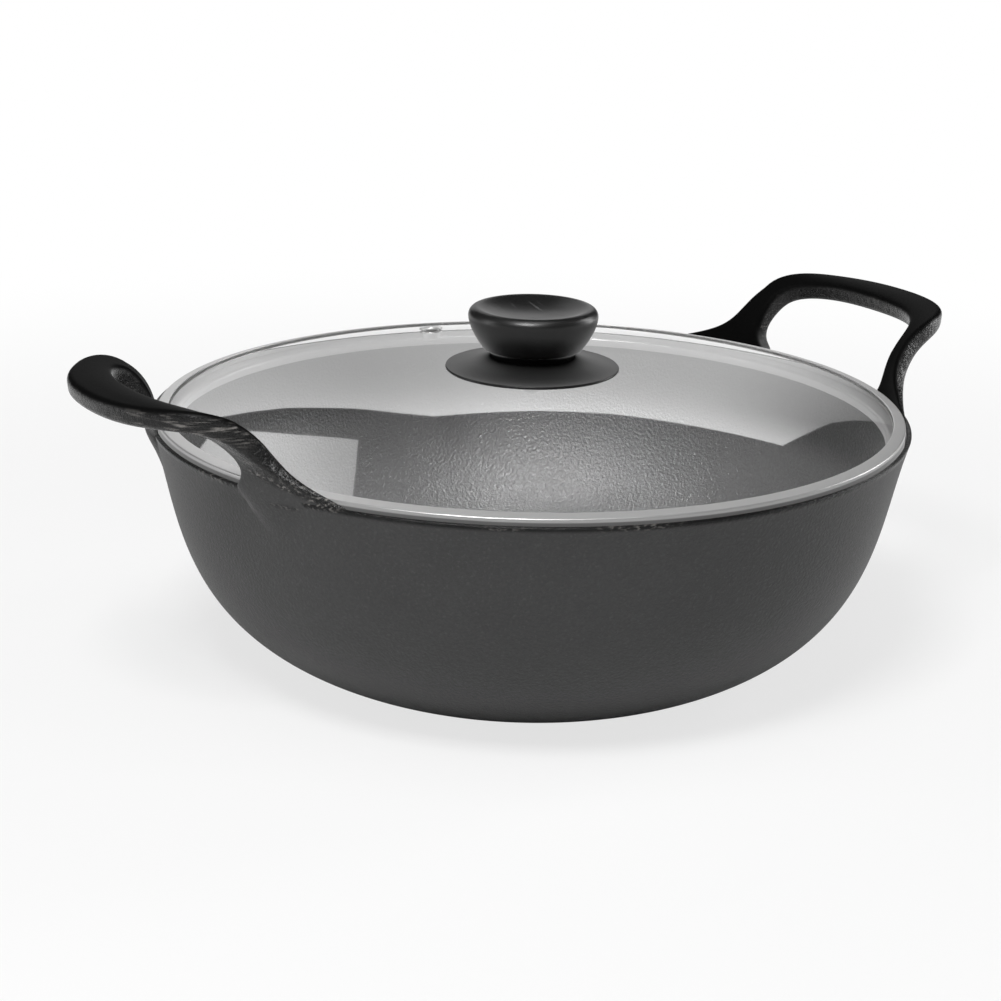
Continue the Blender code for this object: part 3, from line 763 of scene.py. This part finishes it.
def make_screw(finish, head_top, tip):
    """A pan head with a cross recess under the lid, and a threaded shank up into the sleeve."""
    low = head_top - SCREW_HEAD_HEIGHT
    soft = 0.2 * SCREW_HEAD_HEIGHT
    profile = [(0.0, tip), (0.8 * SCREW_RADIUS, tip)]
    for i in range(int((tip - head_top) / THREAD_PITCH)):
        crest = tip - THREAD_PITCH * (i + 0.5)
        profile += [(SCREW_RADIUS, crest),
                    (SCREW_RADIUS - THREAD_DEPTH, crest - 0.5 * THREAD_PITCH)]
    profile += [
        (SCREW_RADIUS, head_top),
        (SCREW_HEAD_RADIUS, head_top, 0.5 * soft),
        (SCREW_HEAD_RADIUS, low + 0.5 * SCREW_HEAD_HEIGHT, soft),
        (0.72 * SCREW_HEAD_RADIUS, low, soft),
        (0.0, low),
    ]
    screw = lathe("pan_head_screw", softened(profile), SMALL_STEPS)
    tools = []
    for turn in (0.0, 0.5 * math.pi):
        shape = bmesh.new()
        bmesh.ops.create_cube(shape, size=1.0)
        slot = mesh_object("drive_slot", shape)
        slot.scale = (DRIVE_LENGTH, DRIVE_WIDTH, 2.0 * DRIVE_DEPTH)
        slot.location.z = low
        slot.rotation_euler.z = turn
        tools.append(slot)
    combine(screw, tools, 'DIFFERENCE')
    screw.data.set_sharp_from_angle(angle=SHARP)
    screw.visible_glossy = False
    wear(screw, "lid", "stainless_steel", finish, "knob_screw")


# Materials
class Current:
    """The tree that add() writes to: the newest material's, or the world's."""
    tree = None


def blank(name):
    finish = bpy.data.materials.new(name)
    finish.use_nodes = True
    Current.tree = finish.node_tree
    Current.tree.nodes.clear()
    return finish


def add(kind, inputs=None, **settings):
    """A shader node with its settings, and its inputs set to values or linked to sockets."""
    new = Current.tree.nodes.new('ShaderNode' + kind)
    for key, value in settings.items():
        setattr(new, key, value)
    for key, value in (inputs or {}).items():
        if isinstance(value, bpy.types.NodeSocket):
            Current.tree.links.new(value, new.inputs[key])
        else:
            new.inputs[key].default_value = value
    return new


def maths(operation, one, two=0.0):
    return add('Math', {0: one, 1: two}, operation=operation).outputs[0]


def plus(one, two):
    return maths('ADD', one, two)


def minus(one, two):
    return maths('SUBTRACT', one, two)


def times(one, two):
    return maths('MULTIPLY', one, two)


def place():
    """The point that is shaded, in metres from the part's origin."""
    return add('TexCoord').outputs['Object']


def split(where):
    return add('SeparateXYZ', {0: where}).outputs


def length(where):
    return add('VectorMath', {0: where}, operation='LENGTH').outputs['Value']


def flat_length(along, across):
    return length(add('CombineXYZ', {0: along, 1: across}).outputs[0])


def scaled(value, low, high):
    """A value from 0 to 1 spread over another range."""
    return add('MapRange', {'Value': value, 'To Min': low, 'To Max': high}).outputs[0]


def stepped(value, low, high):
    """0 below low, 1 above high, smooth between. The other way round where low is above high."""
    spread = add('MapRange', {'Value': value, 'From Min': low, 'From Max': high},
                 interpolation_type='SMOOTHSTEP')
    return spread.outputs[0]


def mixed(factor, one, two):
    return add('Mix', {0: factor, 6: one, 7: two}, data_type='RGBA').outputs[2]


def grey(level, warmth=0.0):
    return (level * (1.0 + warmth), level, level * (1.0 - warmth), 1.0)


def noise(where, scale, detail=3.0, roughness=0.5):
    """Noise from 0 to 1. The scale counts cells per unit."""
    return add('TexNoise', {
        'Vector': where, 'Scale': scale, 'Detail': detail, 'Roughness': roughness}).outputs[0]


def attribute(name):
    return add('Attribute', attribute_name=name).outputs['Fac']


def bump(height, strength, distance, normal=None):
    inputs = {'Height': height, 'Strength': strength, 'Distance': distance}
    if normal is not None:
        inputs['Normal'] = normal
    return add('Bump', inputs).outputs[0]


def surface(inputs):
    shader = add('BsdfPrincipled', inputs)
    add('OutputMaterial', {'Surface': shader.outputs[0]})


# The casting. Scales are cells per metre and depths are metres.
PEBBLE_SCALE = 800.0        # grain of the outside
PEBBLE_DEPTH = 0.00036
LINED_SCALE = 900.0         # grain of the inside
LINED_DEPTH = 0.00046
HAMMER_SCALE = 430.0        # dents of the black edges
HAMMER_DEPTH = 0.0006
SAND_SCALE = 1500.0         # fine changes of the gloss
PATCH_SCALE = 38.0          # broad stains
SPECKLE_SCALE = 900.0       # pits and rubbed peaks
SPECKLE_RANGE = (0.36, 0.64)
PEBBLE_TOP = (0.55, 0.68)   # where the outside's grain is rubbed pale
SMOOTH_GRAIN = 0.12         # grain that is left where the black is smooth
SHADED_EDGE = 0.0016        # radius of the shading's soft edges

OUTER_DARK = 0.036          # greys, in linear light
OUTER_GREY = 0.046
# pale grey of the rubbed grain peaks and of the painted light from the floor
OUTER_RUBBED_AND_LIT = 0.056
OUTER_PIT = 0.026
FLOOR_LIGHT_WALL = 0.062           # painted light from the floor: the outside gets paler from this height down to the next
FLOOR_LIGHT_FOOT = 0.008
# greys of the inside: a painted pool of light low down, painted shade high up
LINED_LIT = 0.085
LINED_SHADED = 0.016
LINED_STAIN = 0.06
LINED_PIT = 0.010
STAIN_SHARE = 0.2
PIT_SHARE = 0.3
SHADED_WALL = 0.074           # painted shade darkens the inside above this height, and a painted pool of light makes it paler below the next
LIT_WALL = 0.040
BLACK = 0.003
# grey and warmth of the painted highlight streaks on the black edges
HIGHLIGHT_GREY = 0.17
HIGHLIGHT_WARMTH = 0.05

STREAK_SCALE = 600.0        # painted highlight streaks on the black edges
STREAK_RANGE = (0.50, 0.70)
LOOP_MIDDLE = 0.135         # they run round this point of each handle's loop
STREAK_STEP = 0.006         # metres of their pattern per radian round that point
STREAK_FLATTENING = 1.6
HIGHLIGHT_ARM = (-0.001, 0.003)  # X times Y where the arm with the strong painted highlights starts on each handle
FAR_ARM_HIGHLIGHT = 0.15
HIGHLIGHT_PATCH_SCALE = 34.0           # the painted highlight streaks come in patches
HIGHLIGHT_PATCH_RANGE = (0.47, 0.62)

CASTING_ROUGHNESS = (0.50, 0.40)    # of the body and of the black
SAND_ROUGHNESS = 0.04
HAMMERED_GLOSS = 0.13       # how much less rough the dented edges are
RUBBED_ROUGHNESS = (-0.01, -0.10)
CASTING_IOR = (1.36, 1.04)
HAMMERED_IOR = 0.36         # added on the dented edges
LINED_IOR = (1.18, 0.45)    # added inside, below and above these heights
LINED_HEIGHTS = (0.055, 0.070)


def painted_highlight_streaks(where):
    """Painted highlight streaks that follow each handle's loop, strong on one arm and faint on the
    other.
    """
    along, across, height = split(where)
    from_loop = minus(maths('ABSOLUTE', along), LOOP_MIDDLE)
    drawn = add('CombineXYZ', {
        0: times(maths('ARCTAN2', across, from_loop), STREAK_STEP),
        1: flat_length(from_loop, across),
        2: times(height, STREAK_FLATTENING)}).outputs[0]
    highlit = stepped(noise(drawn, STREAK_SCALE, 2.0), *STREAK_RANGE)
    near_arm = stepped(times(along, across), *HIGHLIGHT_ARM)
    highlit = times(highlit, scaled(near_arm, FAR_ARM_HIGHLIGHT, 1.0))
    return times(highlit, stepped(noise(where, HIGHLIGHT_PATCH_SCALE, 1.0), *HIGHLIGHT_PATCH_RANGE))


def cast_iron():
    finish = blank("seasoned_cast_iron")
    where = place()
    height = split(where)[2]
    black = attribute("black")
    smooth = attribute("smooth")
    inside = attribute("inside")
    hammered = times(black, minus(1.0, smooth))
    patch = noise(where, PATCH_SCALE)
    speckle = stepped(noise(where, SPECKLE_SCALE, 1.0), *SPECKLE_RANGE)
    grain = noise(where, PEBBLE_SCALE, roughness=0.7)

    outer_share = times(scaled(smooth, 1.0, SMOOTH_GRAIN), minus(1.0, inside))
    soft = add('Bevel', {'Radius': SHADED_EDGE}, samples=4).outputs[0]
    tilt = bump(grain, outer_share, PEBBLE_DEPTH, soft)
    tilt = bump(noise(where, LINED_SCALE, roughness=0.6), inside, LINED_DEPTH, tilt)
    tilt = bump(noise(where, HAMMER_SCALE, roughness=0.6), hammered, HAMMER_DEPTH, tilt)

    outer = mixed(patch, grey(OUTER_DARK), grey(OUTER_GREY))
    # painted light from the floor: the outside gets paler towards the foot
    outer = mixed(stepped(height, FLOOR_LIGHT_WALL, FLOOR_LIGHT_FOOT), outer, grey(OUTER_RUBBED_AND_LIT))
    outer = mixed(stepped(grain, *PEBBLE_TOP), outer, grey(OUTER_RUBBED_AND_LIT))
    outer = mixed(scaled(speckle, PIT_SHARE, 0.0), outer, grey(OUTER_PIT))
    # painted shade on the inside's upper wall and a painted pool of light below it
    shaded_upper = stepped(height, LIT_WALL, SHADED_WALL)
    lined = mixed(shaded_upper, grey(LINED_LIT), grey(LINED_SHADED))
    lined = mixed(scaled(patch, 0.0, STAIN_SHARE), lined, grey(LINED_STAIN))
    lined = mixed(scaled(speckle, PIT_SHARE, 0.0), lined, grey(LINED_PIT))
    skin = mixed(inside, outer, lined)
    # painted highlights: warm grey streaks on the dented black edges
    glint = times(painted_highlight_streaks(where), hammered)
    dark = mixed(glint, grey(BLACK), grey(HIGHLIGHT_GREY, HIGHLIGHT_WARMTH))

    sand = scaled(noise(where, SAND_SCALE), -SAND_ROUGHNESS, SAND_ROUGHNESS)
    roughness = plus(scaled(black, *CASTING_ROUGHNESS), sand)
    roughness = plus(roughness, times(scaled(speckle, *RUBBED_ROUGHNESS), inside))
    roughness = minus(roughness, scaled(hammered, 0.0, HAMMERED_GLOSS))
    polish = scaled(stepped(height, *LINED_HEIGHTS), *LINED_IOR)
    ior = plus(scaled(black, *CASTING_IOR), times(inside, polish))
    ior = plus(ior, scaled(hammered, 0.0, HAMMERED_IOR))
    surface({'Base Color': mixed(black, skin, dark), 'Roughness': roughness,
             'Normal': tilt, 'IOR': ior})
    return finish


def tempered_glass():
    """Clear panes: straight through, with a mirror share that grows towards the edge of sight."""
    finish = blank("clear_tempered_glass")
    haze = noise(place(), 30.0, 4.0)
    facing = add('NewGeometry').outputs['Backfacing']
    fresnel = add('Fresnel', {'IOR': 1.52}).outputs[0]
    both_faces = maths('DIVIDE', times(fresnel, 2.0), plus(fresnel, 1.0))
    share = times(both_faces, minus(1.0, facing))
    clear = add('BsdfTransparent', {'Color': grey(0.975)}).outputs[0]
    gloss = add('BsdfGlossy', {
        'Color': grey(1.0), 'Roughness': scaled(haze, 0.01, 0.05)}).outputs[0]
    pane = add('MixShader', {0: share, 1: clear, 2: gloss}).outputs[0]
    add('OutputMaterial', {'Surface': pane})
    return finish


STEEL_WARMTH = 0.004
STEEL_STAIN = 0.92          # brightness of its stains
MARKS_PER_METRE = 9000.0
MARKS_PER_RADIAN = 6.0
BEAD_SHADE = 0.62        # brightness of the band's outer face, darkened as painted shade
BEAD_FOOT_SHADE = 0.20            # and of the painted shade line low on it, where it meets the pot's lip


def brushed_steel(name, level, metallic):
    """Steel with fine marks that run round the lid's axis, and painted shade on the band's outer
    face.
    """
    finish = blank(name)
    where = place()
    along, across, height = split(where)
    radius = maths('SQRT', plus(times(along, along), times(across, across)))
    turn = maths('ARCTAN2', across, along)
    drawn = add('CombineXYZ', {
        0: times(radius, MARKS_PER_METRE),
        1: times(turn, MARKS_PER_RADIAN),
        2: times(height, MARKS_PER_METRE)}).outputs[0]
    marks = noise(drawn, 1.0)
    stain = noise(where, 45.0)
    stained, clean, shaded_face, foot = (
        grey(level * share, STEEL_WARMTH) for share in (STEEL_STAIN, 1.0, BEAD_SHADE, BEAD_FOOT_SHADE))
    # painted shade: the band's outer face darker, darkest low down where it meets the pot's lip
    bead = stepped(radius, BAND_RADIUS - BAND_SHEET, BAND_RADIUS - 0.4 * BAND_SHEET)
    low = stepped(height, POT_HEIGHT + 2.0 * BAND_SHEET, POT_HEIGHT + BAND_SHEET)
    colour = mixed(bead, mixed(stain, stained, clean), mixed(low, shaded_face, foot))
    surface({'Base Color': colour, 'Metallic': metallic,
             'Normal': bump(marks, 0.25, 0.00003),
             'Roughness': scaled(marks, 0.28, 0.42)})
    return finish


DISH_LINE_TURN = math.radians(87.0)
DISH_LINE_STRETCH = (55.0, 900.0, 0.0)
DISH_LINE_RANGE = (0.60, 0.66)
DISH_LOW = 0.124            # the knob's dish and its neck, as heights above the base
NECK_LOW = 0.115
NECK_HIGH = 0.119
FLANGE_SHINE = 0.26
HEAD_SHINE = 0.4


def phenolic():
    """Satin black, dull at the neck, with a few long light lines in the dish of the knob."""
    finish = blank("satin_phenolic")
    where = place()
    along, across, height = split(where)
    patch = noise(where, 70.0)
    from_axis = flat_length(along, across)
    turned = add('VectorRotate', {'Vector': where, 'Angle': DISH_LINE_TURN},
                 rotation_type='Z_AXIS').outputs[0]
    drawn = add('VectorMath', {0: turned, 1: DISH_LINE_STRETCH}, operation='MULTIPLY').outputs[0]
    dish = times(stepped(height, DISH_LOW, DISH_LOW + 0.001),
                 stepped(from_axis, 0.9 * DISH_RADIUS, 0.6 * DISH_RADIUS))
    lines = times(stepped(noise(drawn, 1.0, 1.0), *DISH_LINE_RANGE),
                  times(dish, stepped(patch, 0.44, 0.56)))
    colour = mixed(patch, grey(0.004), grey(0.008))
    colour = mixed(lines, colour, grey(0.055))
    roughness = plus(scaled(patch, 0.30, 0.40), times(lines, 0.15))
    flange = stepped(from_axis, COLLAR_RADIUS, 1.5 * COLLAR_RADIUS)
    head = scaled(stepped(height, NECK_LOW, NECK_HIGH), 0.0, HEAD_SHINE)
    shine = maths('MAXIMUM', times(flange, FLANGE_SHINE), head)
    tilt = bump(noise(where, 1400.0), 0.20, 0.00005)
    surface({'Base Color': colour, 'Normal': tilt, 'Roughness': roughness,
             'Specular IOR Level': shine})
    return finish


def silicone():
    finish = blank("white_silicone")
    patch = noise(place(), 300.0)
    surface({'Base Color': mixed(patch, grey(0.52, 0.01), grey(0.62, 0.01)),
             'Roughness': scaled(patch, 0.5, 0.7),
             'Normal': bump(patch, 0.2, 0.00008)})
    return finish


BRASS_DARK = (0.66, 0.46, 0.18, 1.0)
BRASS_BRIGHT = (0.76, 0.56, 0.25, 1.0)
RIDGES_PER_METRE = 14000.0  # in radians of their wave


def turned_brass():
    finish = blank("turned_brass")
    where = place()
    ridges = maths('SINE', times(split(where)[2], RIDGES_PER_METRE))
    patch = noise(where, 400.0)
    surface({'Base Color': mixed(patch, BRASS_DARK, BRASS_BRIGHT), 'Metallic': 1.0,
             'Roughness': scaled(patch, 0.25, 0.38),
             'Normal': bump(ridges, 0.3, 0.00005)})
    return finish


# Studio
FLOOR_RADIUS = 9.0
FLOOR_STEPS = 96
SHADOW_NEAR = 0.22          # the floor fades from a shadow to plain white between these distances
SHADOW_FAR = 0.70
SHADOW_GLOW = 0.74          # share of white that is left to the floor in the shadow
WORLD_GREY = 0.16
SKY_LINE = 0.10             # rise of a direction below which reflections show the white backdrop
SIGHT = math.radians(-31.98)    # the camera's heading, turned from +Y about Z
LID_MIDDLE = Vector((0.0, 0.0, 0.10))


def view_rays(mirrored):
    """1 for rays of the camera and through glass, and a share of 1 for those of reflections."""
    path = add('LightPath').outputs
    glossy = times(path['Is Glossy Ray'], mirrored)
    seen = maths('MAXIMUM', path['Is Camera Ray'], glossy)
    return maths('MAXIMUM', seen, path['Is Transmission Ray'])


def make_floor():
    finish = blank("floor_paint")
    where = place()
    coat = mixed(noise(where, 3.0, 2.0), grey(0.56), grey(0.58))
    matt = add('BsdfDiffuse', {'Color': coat}).outputs[0]
    glow = add('Emission', {'Color': grey(1.0), 'Strength': 1.0}).outputs[0]
    from_pot = length(where)
    clear_of_pot = stepped(from_pot, 0.5 * RIM_RADIUS, 1.3 * RIM_RADIUS)
    far = stepped(from_pot, SHADOW_NEAR, SHADOW_FAR)
    share = times(view_rays(clear_of_pot), scaled(far, SHADOW_GLOW, 1.0))
    both = add('MixShader', {0: share, 1: matt, 2: glow}).outputs[0]
    add('OutputMaterial', {'Surface': both})
    rings = [(0.0, -GAP), (0.5 * FLOOR_RADIUS, -GAP), (FLOOR_RADIUS, -GAP)]
    floor = lathe("studio_floor", rings, FLOOR_STEPS)
    floor.data.materials.append(finish)


def direction(turn, height):
    """Unit vector, by degrees left of the camera's heading and degrees above the horizon."""
    flat = Matrix.Rotation(SIGHT + math.radians(turn), 3, 'Z') @ Vector((0.0, 1.0, 0.0))
    lift = math.radians(height)
    return flat * math.cos(lift) + Vector((0.0, 0.0, math.sin(lift)))


# Panels that the lid mirrors. Each corner is (degrees left of the camera's heading, degrees up).
CARD_POWER = 3.0
CARD_MIDDLE = 0.7           # share of a card's height where its fades start to weaken
BACK_CORNERS = (
    (24.0, -2.0), (24.0, 16.5), (17.9, 18.4), (15.6, 19.2), (13.8, 20.1), (12.1, 21.6),
    (10.1, 23.3), (8.0, 25.4), (6.0, 26.8), (-0.5, 26.0), (-5.0, 25.6), (-10.9, 25.7),
    (-15.5, 25.6), (-15.9, 21.6), (-16.2, 17.2), (-16.8, 14.7), (-17.6, 13.0), (-26.0, 11.5),
    (-26.0, -2.0))
BACK_FADES = ((-8.0, -22.0, 0.0, 0.80), (0.0, 9.0, 0.88, 0.88), (8.0, 18.0, 1.25, 1.25))
WINDOW_CORNERS = (
    (18.8, 22.1), (16.9, 23.6), (14.6, 26.8), (11.4, 30.0), (12.7, 35.5), (14.1, 40.2),
    (16.0, 46.0), (23.0, 46.0), (21.0, 25.7))
FLAG_CORNERS = ((60.0, -4.0), (60.0, 70.0), (-60.0, 70.0), (-60.0, -4.0))


def card(name, corners, low, high, fades, distance):
    """A panel that goes from one brightness at its foot to another at its top.

    Each fade has the degrees where it starts and ends, and the share of the light that it leaves
    low down and at the top.
    """
    finish = blank(name)
    coordinates = add('TexCoord').outputs
    up = split(coordinates['Generated'])[2]
    across = split(coordinates['Object'])[0]
    strength = scaled(maths('POWER', up, CARD_POWER), low, high)
    for start, end, left_low, left_high in fades:
        flip = -1.0 if end > start else 1.0
        reach = [-flip * distance * math.tan(math.radians(turn)) for turn in (start, end)]
        gone = stepped(times(across, flip), *reach)
        lost = add('MapRange', {
            'Value': up, 'From Min': CARD_MIDDLE, 'From Max': 1.0,
            'To Min': 1.0 - left_low, 'To Max': 1.0 - left_high}).outputs[0]
        strength = times(strength, minus(1.0, times(gone, lost)))
    glow = add('Emission', {'Color': grey(1.0), 'Strength': strength}).outputs[0]
    add('OutputMaterial', {'Surface': glow})
    shape = bmesh.new()
    verts = []
    for turn, height in corners:
        aside = math.tan(math.radians(turn))
        rise = math.tan(math.radians(height)) * math.hypot(1.0, aside)
        verts.append(shape.verts.new((-distance * aside, 0.0, distance * rise)))
    shape.faces.new(verts)
    panel = mesh_object(name, shape)
    panel.location = LID_MIDDLE + direction(0.0, 0.0) * distance
    panel.rotation_euler.z = SIGHT
    panel.data.materials.append(finish)
    panel.visible_camera = False
    panel.visible_shadow = False


def make_cards():
    card("back_card", BACK_CORNERS, 0.66, 1.92, BACK_FADES, 2.0)
    card("window_card", WINDOW_CORNERS, 1.35, 1.35, ((17.0, 11.5, 0.70, 0.70),), 1.9)
    card("dark_flag", FLAG_CORNERS, 0.01, 0.01, (), 2.2)


# Lamps: degrees left of the camera's heading, degrees up, distance, width, height and watts
LAMPS = {
    "key_lamp": (164.0, 54.0, 1.5, 0.45, 0.45, 25.0),
    "top_lamp": (180.0, 78.0, 1.4, 0.8, 0.8, 6.0),
    "left_lamp": (94.0, 14.0, 1.6, 0.4, 1.0, 5.0),
    "right_lamp": (-62.0, 15.0, 1.6, 0.4, 1.0, 11.0),
}


def area_lamp(name, turn, height, distance, wide, tall, power):
    data = bpy.data.lights.new(name, 'AREA')
    data.shape = 'RECTANGLE'
    data.energy = power
    data.size = wide
    data.size_y = tall
    lamp = linked(name, data)
    lamp.location = LID_MIDDLE + direction(turn, height) * distance
    lamp.rotation_euler = (LID_MIDDLE - lamp.location).to_track_quat('-Z', 'Y').to_euler()
    lamp.visible_camera = False
    return lamp


def spare(lamp, thing):
    """Keeps a lamp off one piece."""
    spared = bpy.data.collections.new(lamp.name + "_spares")
    spared.objects.link(thing)
    spared.collection_objects[0].light_linking.link_state = 'EXCLUDE'
    lamp.light_linking.receiver_collection = spared


def make_world():
    """Plain grey light, seen as white by the camera, through glass and near the horizon."""
    world = bpy.data.worlds.new("studio")
    world.use_nodes = True
    Current.tree = world.node_tree
    shade = world.node_tree.nodes["Background"]
    shade.inputs['Color'].default_value = grey(1.0)
    lift = split(add('TexCoord').outputs['Generated'])[2]
    white = view_rays(stepped(lift, SKY_LINE, 0.2 * SKY_LINE))
    world.node_tree.links.new(scaled(white, WORLD_GREY, 1.0), shade.inputs['Strength'])
    bpy.context.scene.world = world


def make_camera():
    """The camera that was fitted to the photograph, with its lens measured in pixels."""
    aim, distance, lift = Vector((0.0, 0.0, 0.062)), 0.97364, math.radians(16.967)
    yaw, pitch, roll = math.radians(0.022), math.radians(-0.235), math.radians(1.348)
    frame_px, focal_px, shift_px, film = 1001.0, 2604.57, -29.5, 36.0
    back = Vector((0.0, -math.cos(lift), math.sin(lift)))
    right = Vector((1.0, 0.0, 0.0))
    forward = -back * math.cos(yaw) + right * math.sin(yaw)
    right = right * math.cos(yaw) + back * math.sin(yaw)
    up = right.cross(forward)
    look = forward * math.cos(pitch) + up * math.sin(pitch)
    up = up * math.cos(pitch) - forward * math.sin(pitch)
    side = right * math.cos(roll) + up * math.sin(roll)
    up = up * math.cos(roll) - right * math.sin(roll)
    pose = Matrix((side, up, -look)).transposed().to_4x4()
    pose.translation = aim + back * distance
    camera = linked("photo_camera", bpy.data.cameras.new("photo_camera"))
    camera.matrix_world = Matrix.Rotation(SIGHT, 4, 'Z') @ pose
    camera.data.sensor_width = film
    camera.data.lens = focal_px * film / frame_px
    camera.data.shift_x = shift_px / frame_px
    camera.data.clip_start = 0.01
    camera.data.clip_end = 100.0
    bpy.context.scene.camera = camera


def main():
    make_camera()
    make_pot(cast_iron())
    steel = brushed_steel("satin_steel", 0.55, 0.60)
    pane = make_glass(tempered_glass())
    make_band(steel)
    make_vent(steel)
    plated = brushed_steel("plated_steel", 0.30, 1.0)
    make_knob(phenolic(), silicone(), turned_brass(), plated)
    make_floor()
    make_world()
    make_cards()
    for name, settings in LAMPS.items():
        spare(area_lamp(name, *settings), pane)
    bpy.context.scene.view_settings.view_transform = 'Standard'


main()
